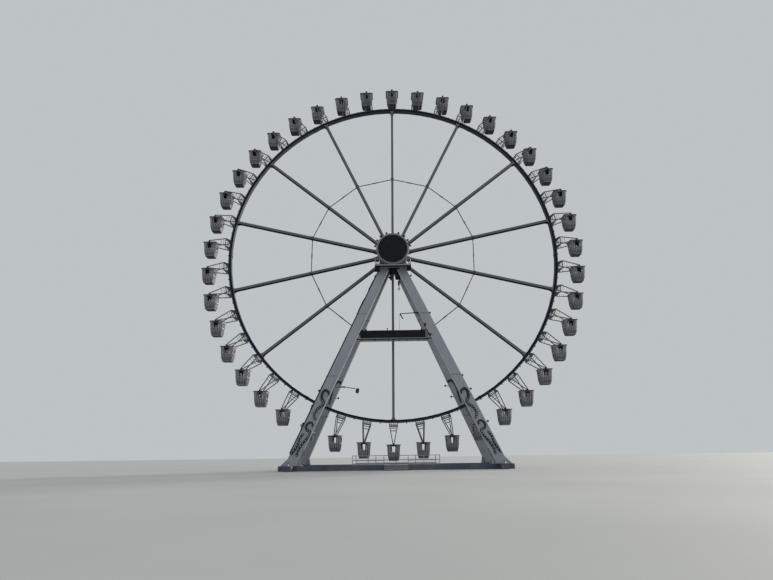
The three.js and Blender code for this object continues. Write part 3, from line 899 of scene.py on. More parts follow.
# %% [markdown]
# Sheets, bars and ribs lie on the four broad walls. Each is made for the front or the right wall, leaned by
# the slope of that wall, and then copied to the wall across. The front and back hatches stay open, and are
# narrower at their foot.

# %% Cabin windows, ribs and hatches
front_wall, side_wall = 1, 0
bar_heights = (-0.477, -0.123)


def leaned_strip(name, which, foot, head, heights, depths, rounding=0.0):
    """A strip on a wall that leans with it, made as if that wall were the front one.

    Foot and head are its left and right ends at its lower and upper height, and depths are how far its
    inside and outside stand out from the wall.
    """
    strip = settle(fresh(bpy.ops.mesh.primitive_cube_add, size=1), name)
    for vertex in strip.data.vertices:
        z, ends = (heights[0], foot) if vertex.co.z < 0 else (heights[1], head)
        out = depths[1] if vertex.co.y < 0 else depths[0]
        vertex.co = Vector((ends[0] if vertex.co.x < 0 else ends[1], -tub_ring(z, out)[which], z))
    if rounding:
        pick(strip, lambda face: face.normal.y < -0.5)
        bpy.ops.mesh.bevel(offset=rounding, segments=1, affect="EDGES")
    return done(strip)


def on_walls(pieces, which):
    """Joins pieces made for one wall, and copies them to the front and back walls or to both side walls."""
    turns = (0, math.pi) if which == front_wall else (math.pi / 2, -math.pi / 2)
    return copies(join_all(pieces, "strips"), [Matrix.Rotation(turn, 4, "Z") for turn in turns], "strips")


def around(x, half_width):
    """The left and right end of a strip about its middle."""
    return (x - half_width, x + half_width)


def cabin_ribs(which, count):
    """Ribs on the walls below the waist, which follow the wall over the knee."""
    rib_step = 0.115
    ribs = []
    for i in range(count):
        x = rib_step * (i - (count - 1) / 2)
        ends, low_ends = around(x, 0.014), around(0.86 * x, 0.013)
        ribs.append(leaned_strip("rib", which, ends, ends, (-0.726, -0.546), (-0.01, 0.006), 0.003))
        ribs.append(leaned_strip("rib", which, low_ends, ends, (-0.97, -0.744), (-0.01, 0.005)))
    return on_walls(ribs, which)


def window_bars():
    """Upright bars over the sheets of the side walls."""
    bars = []
    for x in (-0.22, -0.11, 0.0, 0.11, 0.22):
        ends = around(x, 0.009)
        bars.append(leaned_strip("window_bar", side_wall, ends, ends, bar_heights, (-0.018, 0.001)))
    return on_walls(bars, side_wall)


def hatch_frames():
    """Two posts and a lintel round the front and back hatches, and a bar over each sheet beside them."""
    depths = (-0.02, 0.003)
    pieces = []
    for side in (-1, 1):
        foot = sorted((side * 0.078, side * 0.115))
        head = sorted((side * 0.11, side * 0.175))
        pieces.append(leaned_strip("hatch_post", front_wall, foot, head, (-0.48, -0.12), depths, 0.004))
        ends = around(side * 0.225, 0.01)
        pieces.append(leaned_strip("window_bar", front_wall, ends, ends, bar_heights, (-0.018, 0.0)))
    foot, head = around(0, 0.175), around(0, 0.185)
    pieces.append(leaned_strip("lintel", front_wall, foot, head, (-0.119, -0.062), depths))
    return on_walls(pieces, front_wall)


def cabin_trim():
    """Ribs, bars and hatch frames of a cabin."""
    ribs = [cabin_ribs(front_wall, 5), cabin_ribs(side_wall, 6)]
    return paint_on(join_all([*ribs, window_bars(), hatch_frames()], "trim"), post_dark)


def cabin_windows():
    """Hazy sheets behind the bars: a broad one on each side wall, and two beside each hatch."""
    heights, depths = (-0.478, -0.122), (-0.014, -0.01)
    broad = leaned_strip("sheet", side_wall, (-0.3, 0.3), (-0.335, 0.335), heights, depths)
    narrow = []
    for side in (-1, 1):
        foot = sorted((side * 0.1, side * 0.262))
        head = sorted((side * 0.132, side * 0.28))
        narrow.append(leaned_strip("sheet", front_wall, foot, head, heights, depths))
    sheets = [on_walls([broad], side_wall), on_walls(narrow, front_wall)]
    return paint_on(join_all(sheets, "windows"), window_haze)


# %% [markdown]
# Inside are a bench round the wall, with an open middle, and a grip wheel on a post, by which riders turn
# the cabin. Above the roof the bar that carries the cabin passes through two lugs, with collars that keep it
# in place.

# %% Cabin bench, grip wheel and hanger
def cabin_bench():
    """A bench that follows the wall, open in the middle, on an apron painted near-black as a painted shade.
    """
    rings = [(0.32, 0.37, -0.7), (0.326, 0.376, -0.69), (0.326, 0.376, -0.668), (0.316, 0.366, -0.66)]
    seat = cut_plate("seat", 0.07, rings)
    pick(seat, lambda face: abs(face.normal.z) > 0.9)
    bpy.ops.mesh.inset(thickness=0.15)
    bpy.ops.mesh.bridge_edge_loops()
    done(seat)
    apron = cut_plate("apron", 0.05, [(0.2, 0.24, -0.972), (0.22, 0.26, -0.7)])
    # The apron is painted near-black, a painted shade under the seat.
    return [paint_on(seat, bench_timber), paint_on(apron, underside_shade)]


def grip_wheel():
    """A ring on a post in the middle of the cabin."""
    height, radius = -0.565, 0.105
    parts = [bar("post", (0, 0, -0.72), (0, 0, -0.56), 0.018, 8)]
    parts.append(ring_of_wire("ring", (0, 0, height), radius, 0.009, 16, 6))
    for turn in (0, 2 * math.pi / 3, 4 * math.pi / 3):
        tip = (0.1 * math.cos(turn), 0.1 * math.sin(turn), height)
        parts.append(bar("arm", (0, 0, height), tip, 0.006, 6, 0))
    return paint_on(join_all(parts, "grip"), zinc)


def hanger():
    """The bar that the cabin hangs on, with collars, end washers and two lugs on the roof."""
    parts = [bar("hanger", (0, -0.509, 0), (0, 0.509, 0), 0.024, 10, 0.1)]
    for y in (-0.36, -0.2, 0.2, 0.36):
        parts.append(bar("collar", (0, y - 0.014, 0), (0, y + 0.014, 0), 0.034, 10, 0.15))
    for y in (-0.28, 0.28):
        parts.append(block("lug", (-0.06, y - 0.02, -0.03), (0.06, y + 0.02, 0.014), 0.006))
    for y in (-0.5025, 0.5025):
        parts.append(bar("washer", (0, y - 0.004, 0), (0, y + 0.004, 0), 0.034, 10, 0.08))
    return paint_on(join_all(parts, "hanger"), dark_steel)


cabin_parts = [cabin_shell(), cabin_floor(), cabin_roof(), cabin_trim()]
cabin_parts += [*cabin_bench(), grip_wheel(), hanger()]
cabin_solid = join_all(cabin_parts, "cabin_solid")
cabin_glass = cabin_windows()
print("one cabin:", len(cabin_solid.data.polygons), "faces, and its windows", len(cabin_glass.data.polygons))

# %% [markdown]
# The finished cabin is copied to every pivot. Each copy gets its own mesh and rides on its own body, so that
# it stays upright when the wheel turns. It stands for the plain CAD cabin, which is hidden.

# %% Cabins in their places
for body in cabin_names:
    number = body.split("_")[1]
    pivot = Matrix.Translation(joint_at[f"{body}_swing"])
    for model, label in ((cabin_solid, "shell"), (cabin_glass, "windows")):
        cabin = duplicate(model)
        cabin.data.transform(pivot)
        cabin.name = f"cabin_{label}_{number}"
        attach(cabin, body)
        if label == "shell":
            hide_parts(body)
for model in (cabin_solid, cabin_glass):
    bpy.data.objects.remove(model)
print("cabins dressed:", len(cabin_names))

# %% [markdown]
# The round screen sits in a grey frame, a ring of square section spun round the axle that covers the edge of
# the CAD drum, with a thin paler bead at its inner edge. Round it stand dark lugs with small spotlights,
# which look outwards and back at the spokes.

# %% Screen frame and spotlights
screen_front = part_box("round_screen")[0].y
bezel_radius, bezel_width = 1.023, 0.102
bead_radius, bead_width = 0.974, 0.018
bezel = spun_ring("screen_bezel", bezel_radius, bezel_width, screen_front - 0.014, screen_front + 0.2, 96)
fit(paint_on(bezel, bezel_grey), "base")
bead = spun_ring("screen_bead", bead_radius, bead_width, screen_front - 0.03, screen_front + 0.021, 96)
fit(paint_on(bead, trim_pale), "base")


def spotlight(foot, direction, reach, size, look=(0, -1, 0)):
    """A lamp on a stem, dark by day. The stem goes one way from its foot, and the lamp looks another way."""
    foot, direction, look = Vector(foot), Vector(direction).normalized(), Vector(look)
    top = foot + reach * direction
    stem = bar("stem", foot - 0.01 * direction, top, 0.3 * size, 8, 0)
    body = loft("body", 12, scaled_rings(size, (0.55, -1.2), (0.9, -0.9), (1, 0.4)))
    glass = loft("glass", 12, scaled_rings(size, (0.86, 0.4), (0.8, 0.6), (0.4, 0.75)))
    facing(body, look, top)
    facing(glass, look, top)
    casing = [paint_on(stem, dark_steel), paint_on(body, dark_steel)]
    return join_all([*casing, paint_on(glass, cable_black)], "spot")


lug_radius, lug_size, yoke_half = 1.07, 0.062, 0.085
bezel_lights = []
for degrees in (20, 42, 59, 80):
    for side in (-1, 1):
        turn = side * math.radians(degrees)
        outwards = Vector((math.sin(turn), 0, math.cos(turn)))
        across = Vector((math.cos(turn), 0, -math.sin(turn)))
        foot = hub + lug_radius * outwards + Vector((0, screen_front + 0.06, 0))
        look = outwards + Vector((0, 0.5, 0))
        bezel_lights.append(spotlight(foot, outwards, 0.11, lug_size, look))
        yoke_middle = foot + 0.07 * outwards
        yoke = bar("yoke", yoke_middle - yoke_half * across, yoke_middle + yoke_half * across, 0.02, 8)
        bezel_lights.append(paint_on(yoke, dark_steel))
fit(join_all(bezel_lights, "screen_lights"), "base")

# %% [markdown]
# Under the screen is the service deck, reached by the people who look after the bearings. It has low rails
# and slanting struts at its ends, an edge plate that hangs below it, and a hoist with a hook that lifts
# tools up between the legs. Two near-black boxes hang under its ends as a painted shade below the deck.

# %% Service deck rails and hoist
deck_low, deck_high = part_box("front_head")
deck_top = hub.z - 1.09
deck_under = hub.z - 1.16
deck_end = deck_high.x
deck_front = deck_low.y


def rail_run(points, radius, sides=8, cap=0):
    """A tube through several points."""
    return [bar("rail", start, end, radius, sides, cap) for start, end in zip(points, points[1:])]


rail_y, rail_back, rail_corner = deck_front + 0.03, -0.62, -1.05
service = []
for side in (-1, 1):
    x_end, x_in = side * (deck_end - 0.03), side * (deck_end - 0.32)
    for height in (0.19, 0.36):
        z = deck_top + height
        service += rail_run([(x_in, rail_y, z), (x_end, rail_y, z), (x_end, rail_back, z)], 0.018)
    for x, y in ((x_in, rail_y), (x_end, rail_y), (x_end, rail_corner), (x_end, rail_back)):
        service.append(bar("rail_post", (x, y, deck_top - 0.01), (x, y, deck_top + 0.37), 0.018, 8))
fit(paint_on(join_all(service, "service_rails"), zinc), "base")

strut_y = -1.3
struts = []
for side in (-1, 1):
    for x_foot, x_head in ((1.1, 0.9), (0.72, 0.88)):
        foot = (side * x_foot, strut_y, deck_top - 0.01)
        head = (side * x_head, strut_y, hub.z - 0.62)
        struts.append(bar("strut", foot, head, 0.028, 8))
fit(paint_on(join_all(struts, "screen_struts"), dark_steel), "base")


def deck_edge(name, y_low, z_low, z_high, material):
    """A strip along the deck's front edge."""
    low, high = (-deck_end, y_low, z_low), (deck_end, deck_front + 0.004, z_high)
    return paint_on(block(name, low, high), material)


plate_front = deck_front - 0.012
edges = [deck_edge("edge_plate", plate_front, deck_under - 0.11, deck_under + 0.01, cable_black)]
edges.append(deck_edge("edge_lip", plate_front - 0.01, deck_under - 0.006, deck_under + 0.016, trim_pale))
# Painted shade: a near-black box under each end of the deck.
for side, reach, depth in ((-1, 0.32, 0.36), (1, 0.28, 0.32)):
    x_low, x_high = sorted((side * deck_end, side * (deck_end - reach)))
    box_low, box_high = (x_low, deck_front + 0.02, deck_under - depth), (x_high, -1.2, deck_under + 0.004)
    edges.append(paint_on(block("shade_box", box_low, box_high, 0.015, 2), cable_black))
fit(join_all(edges, "service_edges"), "base")


def hoist():
    """A winch under the deck with its drum, motor and brake, a rope and a hook block."""
    y_low, y, y_high = -0.92, -0.76, -0.6
    top = deck_under + 0.004
    rope_x = 0.38

    def level(name, x_low, x_high, drop, radius, sides):
        return bar(name, (x_low, y, top - drop), (x_high, y, top - drop), radius, sides)

    def hanging(name, first_drop, last_drop, radius, sides):
        return bar(name, (rope_x, y, top - first_drop), (rope_x, y, top - last_drop), radius, sides, 0)

    parts = [block("winch", (-0.3, y_low, top - 0.34), (0.43, y_high, top), 0.02, 2)]
    parts.append(block("gear_case", (0.13, y_low, top - 0.62), (0.36, y_high, top - 0.33), 0.03, 2))
    parts.append(level("drum", 0.15, 0.47, 0.66, 0.12, 18))
    parts.append(block("brake", (-0.2, y_low, top - 0.78), (-0.1, y_high, top - 0.33), 0.02, 2))
    parts.append(level("motor", -0.3, -0.04, 0.62, 0.07, 14))
    parts.append(hanging("rope", 0.7, 0.9, 0.02, 6))
    parts.append(block("hook_block", (0.31, -0.82, top - 1.16), (0.43, -0.7, top - 0.88), 0.02, 2))
    parts.append(hanging("shank", 1.14, 1.36, 0.024, 8))
    parts.append(ring_of_wire("hook", (rope_x, y, top - 1.41), 0.06, 0.02, 18, 8, (math.pi / 2, 0, 0)))
    return paint_on(join_all(parts, "hoist"), cable_black)


fit(hoist(), "base")

# %% [markdown]
# At the back of the axle a round cover closes the bearing, with a ring of bolts and a small slip-ring box
# from which the lamps of the wheel get their current. The front bearing is hidden by the screen's drum.

# %% Bearing covers
cover_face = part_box("back_head")[1].y
bolt_ring = 0.29
cover_rings = [(0.36, 0), (0.36, 0.03), (0.34, 0.045), (0.2, 0.05), (0.19, 0.1), (0.17, 0.115), (0.06, 0.12)]
cover = facing(loft("cover", 32, cover_rings), (0, 1, 0), hub + Vector((0, cover_face - 0.004, 0)))
bolt_points = [
    hub + Vector((bolt_ring * math.sin(turn), cover_face + 0.042, bolt_ring * math.cos(turn)))
    for turn in bay_angles
]
cover_bolts = bolts_at("cover_bolts", 0.022, bolt_points, (0, 1, 0))
box_low, box_high = Vector((-0.13, cover_face + 0.1, -0.13)), Vector((0.13, cover_face + 0.34, 0.13))
slip_box = paint_on(block("slip_box", hub + box_low, hub + box_high, 0.02, 2), dark_steel)
fit(join_all([paint_on(cover, head_grey), cover_bolts, slip_box], "back_bearing_cover"), "base")

# %% [markdown]
# A leg travels in sections that are bolted together on site, so it has collars along its length. A collar is
# a plate that stands out a little round the leg's section. The leg's slope and taper are read from the CAD
# node itself, so that whatever is put on a leg lies on its faces.

# %% Where a leg's faces are
def leg_section(node, z):
    """The leg's four corners at a height, between its lowest and its highest corners."""
    corners = {tuple(round(v, 4) for v in vertex.co) for vertex in frame["nodes"][node].data.vertices}
    z_low, z_high = min(c[2] for c in corners), max(c[2] for c in corners)
    feet = sorted(c for c in corners if c[2] == z_low)
    tops = sorted(c for c in corners if c[2] == z_high)
    share = (z - z_low) / (z_high - z_low)
    points = [Vector(foot).lerp(Vector(top), share) for foot, top in zip(feet, tops)]
    xs, ys = [p.x for p in points], [p.y for p in points]
    return min(xs), max(xs), min(ys), max(ys)


def leg_ring(node, z, height, stand):
    """A collar round a leg at a height, following its slope."""
    ring = settle(fresh(bpy.ops.mesh.primitive_cube_add, size=1), "collar")
    for vertex in ring.data.vertices:
        level = z - height / 2 if vertex.co.z < 0 else z + height / 2
        x_low, x_high, y_low, y_high = leg_section(node, level)
        x = x_low - stand if vertex.co.x < 0 else x_high + stand
        y = y_low - stand if vertex.co.y < 0 else y_high + stand
        vertex.co = Vector((x, y, level))
    pick(ring)
    bpy.ops.mesh.bevel(offset=0.006, segments=1, affect="EDGES")
    return done(ring)


leg_names = [name for name in frame["nodes"] if name.endswith("_leg")]
leg_joints = (3.35, 5.6, 9.6)
collars = []
for name in leg_names:
    for z in leg_joints:
        collars.append(leg_ring(name, z - 0.024, 0.036, 0.012))
        collars.append(leg_ring(name, z + 0.024, 0.036, 0.012))
        collars.append(leg_ring(name, z, 0.012, 0.004))
    collars.append(leg_ring(name, 0.33, 0.05, 0.075))
fit(paint_on(join_all(collars, "leg_collars"), leg_grey), "base")
print("front left leg at 5 m:", [round(v, 2) for v in leg_section("front_left_leg", 5.0)])

# %% [markdown]
# A thick black cable in clips runs up the outer edge of the front left leg, and a pale light tube up the
# inner edge of both front legs. The tubes' pale paint, and the greater width of the left one, are a painted
# highlight for the sunlit inner edge of the legs. Small spotlights stand on short arms at the edges of the
# legs and light up the wheel at night. All of them are placed by height, and their feet are found on the
# leg's section. A longer arm on the left leg carries an oval street lamp.

# %% Cable, light tubes with a painted highlight, and spotlights on the legs
def beside_leg(z, gap):
    """A point beside the outer edge of the front left leg, near its front face."""
    x_low, _, y_low, _ = leg_section("front_left_leg", z)
    return Vector((x_low - gap, y_low + 0.05, z))


hub_drops = ((1.2, 0.0), (1.75, 0.04), (2.6, 0.07), (2.78, 0.03), (3.2, 0.03), (3.4, 0.07), (4.05, 0.07),
             (4.25, 0.03))
cable_points = [beside_leg(hub.z - drop, gap) for drop, gap in hub_drops]
cable_points.append(beside_leg(1.0, 0.03))
cable = rail_run(cable_points, 0.05, 10, 0.3)
for z in (hub.z - 1.9, hub.z - 2.78, hub.z - 3.3, hub.z - 4.2, 8.0, 6.4, 4.9, 3.6, 2.4, 1.2):
    point = beside_leg(z, 0.03)
    clip_low, clip_high = point - Vector((0.055, 0.05, 0.05)), point + Vector((0.05, 0.05, 0.05))
    cable.append(block("clip", clip_low, clip_high, 0.01))
fit(paint_on(join_all(cable, "leg_cable"), cable_black), "base")

# Painted highlight: the pale tubes stand for the lit inner edge, so the left one is wider.
highlight_tubes = []
for node, inner, radius in (("front_left_leg", 1, 0.038), ("front_right_leg", 0, 0.022)):
    ends = []
    for z in (1.2, hub.z - 1.3):
        section = leg_section(node, z)
        ends.append(Vector((section[inner] + (0.01 if inner else -0.01), section[2] - 0.03, z)))
    highlight_tubes.append(bar("tube", ends[0], ends[1], radius, 12))
fit(paint_on(join_all(highlight_tubes, "leg_highlight_tubes"), tube_pale_highlight), "base")


def leg_lamp(node, z, edge, reach):
    """A spotlight on the inner or outer edge of a leg, looking up at the wheel."""
    side = -1 if "left" in node else 1
    x_low, x_high, y_low, y_high = leg_section(node, z)
    outer_x, inner_x = (x_high, x_low) if side > 0 else (x_low, x_high)
    x, way = (outer_x, side) if edge == "outer" else (inner_x, -side)
    foot = (x, (y_low + y_high) / 2 - 0.1, z)
    return spotlight(foot, (way, 0, 0.2), reach, 0.06, (way * 0.3, -0.6, 0.8))


outer_lamps = ((5.55, 0.05), (4.7, 0.13), (2.73, 0.12), (9.62, 0.07), (12.2, 0.1))
inner_lamps = ((5.2, 0.28), (4.5, 0.22), (9.0, 0.05))
leg_lights = []
for side in ("left", "right"):
    leg_lights += [leg_lamp(f"front_{side}_leg", z, "outer", reach) for z, reach in outer_lamps]
    leg_lights += [leg_lamp(f"back_{side}_leg", z, "inner", reach) for z, reach in inner_lamps]
fit(join_all(leg_lights, "leg_lights"), "base")

arm_z = 4.88
arm_section = leg_section("front_left_leg", arm_z)
arm_foot = Vector((arm_section[1] - 0.02, (arm_section[2] + arm_section[3]) / 2, arm_z))
arm_bends = ((0, 0, 0), (0.6, 0, 0.07), (1.12, 0, -0.03), (1.38, 0, -0.06))
arm_points = [arm_foot + Vector(bend) for bend in arm_bends]
street_lamp = [paint_on(rail, bracket_grey) for rail in rail_run(arm_points, 0.026)]
clamp_low, clamp_high = arm_foot + Vector((-0.02, -0.12, -0.14)), arm_foot + Vector((0.06, 0.12, 0.14))
street_lamp.append(paint_on(block("clamp_plate", clamp_low, clamp_high, 0.01), dark_steel))
shade = loft("shade", 16, [(0.05, 0.14), (0.1, 0.1), (0.115, 0.0), (0.1, -0.12), (0.06, -0.17)])
shade = facing(shade, (0.25, 0, 1), arm_points[-1] + Vector((0.12, 0, -0.12)))
street_lamp.append(paint_on(shade, post_dark))
street_lamp.append(spotlight(arm_foot + Vector((0, 0, 0.3)), (1, 0, 0.4), 0.16, 0.06))
fit(join_all(street_lamp, "leg_arm_lamp"), "base")

# %% [markdown]
# A ladder runs up the back of one back leg. Its two stiles follow the leg, and the rungs are one short bar,
# copied at even steps.

# %% Ladder
def ladder(node, z_low, z_high, step=0.28, half_width=0.16):
    """A ladder on the back face of a leg, a hand's width away from it."""
    def middle(z):
        x_low, x_high, _, y_high = leg_section(node, z)
        return Vector(((x_low + x_high) / 2, y_high + 0.1, z))

    side = Vector((half_width, 0, 0))
    parts = [bar("stile", middle(z_low) + s, middle(z_high) + s, 0.017, 8) for s in (-side, side)]
    rungs = int((z_high - z_low) / step)
    rung_places = [Matrix.Translation(middle(z_low + step * (i + 0.5))) for i in range(rungs)]
    parts.append(copies(bar("rung", -side, side, 0.011, 8, 0), rung_places, "rungs"))
    stay_heights = (z_low + 0.3, 4.5, 7.4, 10.2, z_high - 0.3)
    stay_places = [Matrix.Translation(middle(z) + s) for z in stay_heights for s in (-side, side)]
    parts.append(copies(bar("stay", (0, -0.11, 0), (0, 0, 0), 0.01, 8, 0), stay_places, "stays"))
    return paint_on(join_all(parts, "leg_ladder"), zinc)


fit(ladder("back_right_leg", 0.6, 12.2), "base")

# %% [markdown]
# The lower part of each leg carries an ornament of scrolls, a fairground tradition. Here it is a plain
# design of tapered tubes with rows of round bulbs. Each tube is drawn by a few points on the leg's face,
# across it and up it, and a smooth curve through them is given its thickness and made a mesh. The two sides
# mirror each other.

# %% Scroll ornaments
def between(t, a, b, c, d):
    """The place between b and c, at a share t of the way, on a smooth curve through four places."""
    bend, swing = 2 * a - 5 * b + 4 * c - d, 3 * b - a - 3 * c + d
    return 0.5 * (2 * b + (c - a) * t + bend * t * t + swing * t**3)


def smooth_points(points, steps=8):
    """Points of a smooth curve through the given ones, each (across, up)."""
    ends = [points[0], *points, points[-1]]
    smooth = []
    for four in zip(ends, ends[1:], ends[2:], ends[3:]):
        for i in range(steps):
            smooth.append(tuple(between(i / steps, *places) for places in zip(*four)))
    return smooth + [points[-1]]


def tapered_tube(name, points, thick, thin):
    """A tube of round section along points, from thick to thin, made a mesh."""
    data = bpy.data.curves.new(name, "CURVE")
    data.dimensions = "3D"
    data.bevel_depth = 1.0
    data.bevel_resolution = 2
    data.use_fill_caps = True
    spline = data.splines.new("POLY")
    spline.points.add(len(points) - 1)
    for i, (point, co) in enumerate(zip(spline.points, points)):
        point.co = (*co, 1)
        point.radius = thick + (thin - thick) * i / (len(points) - 1)
    piece = bpy.data.objects.new(name, data)
    bpy.context.collection.objects.link(piece)
    only(piece)
    bpy.ops.object.convert(target="MESH")
    return done(bpy.context.active_object, 60)


def ornament(node, strokes):
    """Tubes and bulbs laid on the front face of a leg. A stroke is (points, thick, thin, with bulbs)."""
    side = -1 if "left" in node else 1

    def on_face(across, up, out):
        x_low, x_high, y_low, _ = leg_section(node, up)
        return Vector(((x_low + x_high) / 2 + side * across, y_low - out, up))

    parts, spots = [], []
    for points, thick, thin, with_bulbs in strokes:
        line = smooth_points(points)
        tube = tapered_tube("tube", [on_face(*point, 0.4 * thin) for point in line], thick, thin)
        parts.append(paint_on(tube, scroll_blue))
        if with_bulbs:
            spots += [on_face(*point, 0.4 * thin + 0.8 * thick) for point in line[2::4]]
    if spots:
        bulb = loft("bulb", 10, [(0.026, 0), (0.028, 0.012), (0.022, 0.028), (0.01, 0.036)])
        bulb = facing(paint_on(bulb, lamp_cover), (0, -1, 0), (0, 0, 0))
        parts.append(copies(bulb, [Matrix.Translation(spot) for spot in spots], "bulbs"))
    return join_all(parts, f"{node}_ornament")


arch = [(-0.3, 4.4), (-0.24, 4.54), (-0.1, 4.66), (0.08, 4.73), (0.15, 4.585), (0.1, 4.34), (-0.04, 4.125)]
snake = [(-0.04, 4.125), (-0.19, 3.96), (-0.17, 3.79), (-0.03, 3.64), (0.05, 3.43), (0.0, 3.19)]
snake.append((-0.2, 2.93))
curl = [(-0.19, 2.55), (-0.16, 2.69), (-0.04, 2.785), (0.1, 2.78), (0.18, 2.66), (0.15, 2.5), (0.01, 2.34)]
tail = [(0.01, 2.34), (-0.22, 2.25), (-0.27, 2.06), (-0.2, 1.83), (-0.08, 1.5), (-0.04, 1.15), (-0.1, 0.85)]
wave = [(0.13, 2.15), (0.22, 1.85), (0.16, 1.55), (0.2, 1.25), (0.27, 0.95)]
front_strokes = [(arch, 0.055, 0.09, False), (snake, 0.09, 0.06, True), (curl, 0.045, 0.07, False)]
front_strokes += [(tail, 0.075, 0.06, True), (wave, 0.055, 0.07, True)]
hoop = [(-0.3, 5.42), (-0.26, 5.51), (-0.07, 5.59), (0.04, 5.48), (0.1, 5.27), (0.07, 5.01), (0.02, 4.8)]
hoop += [(-0.06, 4.4), (-0.09, 4.14)]
for side in ("left", "right"):
    fit(ornament(f"front_{side}_leg", front_strokes), "base")
    fit(ornament(f"back_{side}_leg", [(hoop, 0.075, 0.045, False)]), "base")

# %% [markdown]
# Between the front legs hangs the sign box. It is dark and blank, with cover strips between its panels, a
# grey strip at its right end, and below it a pale rail with a dark one under it. Small lamps look down from
# the rail. A thin boom on the right leg carries one more lamp, whose cable runs down to the sign.

# %% Sign frame and boom lamp
sign_low, sign_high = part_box("front_sign_beam")
sign_face = sign_low.y
sign_back = -1.262
sign_half, sign_outer = 2.04, 2.13
sign_foot = hub.z - 5.937
panel_width = 0.816
strip_left = 1.98
rail_left, rail_right = -2.34, 2.12
rail_top, rail_foot = sign_foot + 0.012, sign_foot - 0.025


def sign_bar(x_low, x_high, z_low, z_high, material, out=0.012):
    """A flat bar on the sign's front."""
    low, high = (x_low, sign_face - out, z_low), (x_high, sign_face + 0.01, z_high)
    return paint_on(block("sign_bar", low, high), material)


sign_ends = []
for x_low, x_high in ((-sign_outer, -sign_half + 0.01), (sign_half - 0.01, sign_outer)):
    low, high = (x_low, sign_face, sign_foot), (x_high, sign_back, sign_high.z)
    sign_ends.append(block("sign_end", low, high, 0.004))
sign_parts = [paint_on(join_all(sign_ends, "sign_ends"), sign_dark)]
sign_parts.append(sign_bar(-sign_outer, strip_left, sign_high.z - 0.03, sign_high.z + 0.004, cable_black))
for i in range(-2, 3):
    x = panel_width * i
    sign_parts.append(sign_bar(x - 0.008, x + 0.008, sign_foot, sign_high.z - 0.02, cable_black, 0.005))
sign_parts.append(sign_bar(strip_left, sign_outer, sign_foot, sign_high.z - 0.02, bracket_grey, 0.02))
sign_parts.append(sign_bar(rail_left, rail_right, rail_foot, rail_top, trim_pale, 0.02))
dark_foot = sign_low.z - 0.05
sign_parts.append(sign_bar(rail_left - 0.03, rail_right + 0.03, dark_foot, rail_foot, cable_black, 0.03))
for x in (-1.2, -0.35, 0.35, 0.8, 1.55):
    foot = (x, sign_face + 0.05, sign_low.z - 0.03)
    sign_parts.append(spotlight(foot, (0, 0, -1), 0.06, 0.034, (0, -0.6, -1)))
spike_foot = Vector((-0.42, sign_face + 0.06, sign_high.z - 0.01))
sign_parts.append(spotlight(spike_foot, (0, 0, 1), 0.13, 0.045, (0, 0, 1)))
fit(join_all(sign_parts, "sign_trim"), "base")

sign_hangers = []
for z in (hub.z - 5.1, hub.z - 5.75):
    x, _, y, _ = leg_section("front_right_leg", z)
    bracket_low, bracket_high = Vector((x - 0.1, y - 0.06, z - 0.09)), Vector((x + 0.04, y + 0.1, z + 0.09))
    sign_hangers.append(paint_on(block("bracket", bracket_low, bracket_high, 0.01), dark_steel))
fit(join_all(sign_hangers, "sign_hangers"), "base")

boom_z = hub.z - 4.29
boom_section = leg_section("front_right_leg", boom_z)
boom_y = boom_section[2] + 0.15
boom_foot = Vector((boom_section[0] + 0.02, boom_y, boom_z + 0.06))
boom_tip = Vector((0.4, boom_y, boom_z - 0.02))
boom_middle = boom_foot.lerp(boom_tip, 0.3)
drop_foot = boom_tip + Vector((0.08, 0, -0.13))
lamp_foot = drop_foot + Vector((0.07, 0, -0.13))
boom = [bar("boom", boom_foot, boom_middle, 0.042, 8), bar("boom", boom_middle, boom_tip, 0.028, 8)]
boom.append(bar("stay", boom_foot - Vector((-0.1, 0, 0.28)), boom_foot.lerp(boom_tip, 0.2), 0.02, 8))
boom.append(bar("drop", boom_tip, drop_foot, 0.04, 8))
boom.append(bar("tip", drop_foot, lamp_foot, 0.03, 8))
boom.append(bar("cable", boom_tip, (boom_tip.x - 0.06, sign_face + 0.04, sign_high.z - 0.01), 0.009, 6, 0))
boom = [paint_on(part, dark_steel) for part in boom]
boom.append(spotlight(lamp_foot, (0.3, 0, -1), 0.04, 0.045))
fit(join_all(boom, "boom_lamp"), "base")

# %% [markdown]
# The foot of the wheel isn't in the photograph. It is dressed as such ground frames usually are: gussets
# at the feet of the legs, screw jacks in the outriggers, bolted joints in the sills, pale noses on the steps
# and kick plates along the deck.

# %% Foot gussets and screw jacks
base_top = 0.3
rib_top, rib_reach, rib_half = 0.75, 0.26, 0.01


def foot_rib(name, x, way, y):
    """A three-cornered plate between a leg's edge and the ground frame, on one side of the leg."""
    rib = settle(fresh(bpy.ops.mesh.primitive_cylinder_add, vertices=3, radius=0.2, depth=0.02), "rib")
    edge_x = leg_section(name, rib_top)[0 if way < 0 else 1]
    ends = ((x - way * 0.02, base_top), (x + way * rib_reach, base_top), (edge_x - way * 0.02, rib_top))
    for vertex in rib.data.vertices:
        third = round(math.degrees(math.atan2(vertex.co.x, vertex.co.y)) % 360 / 120)
        end_x, end_z = ends[third % 3]
        vertex.co = Vector((end_x, y + (rib_half if vertex.co.z > 0 else -rib_half), end_z))
    return done(rib)


foot_gussets = []
for name in leg_names:
    x_low, x_high, y_low, y_high = leg_section(name, base_top + 0.01)
    for y in (y_low + 0.1, y_high - 0.1):
        foot_gussets += [foot_rib(name, x_low, -1, y), foot_rib(name, x_high, 1, y)]
fit(paint_on(join_all(foot_gussets, "foot_gussets"), leg_grey), "base")


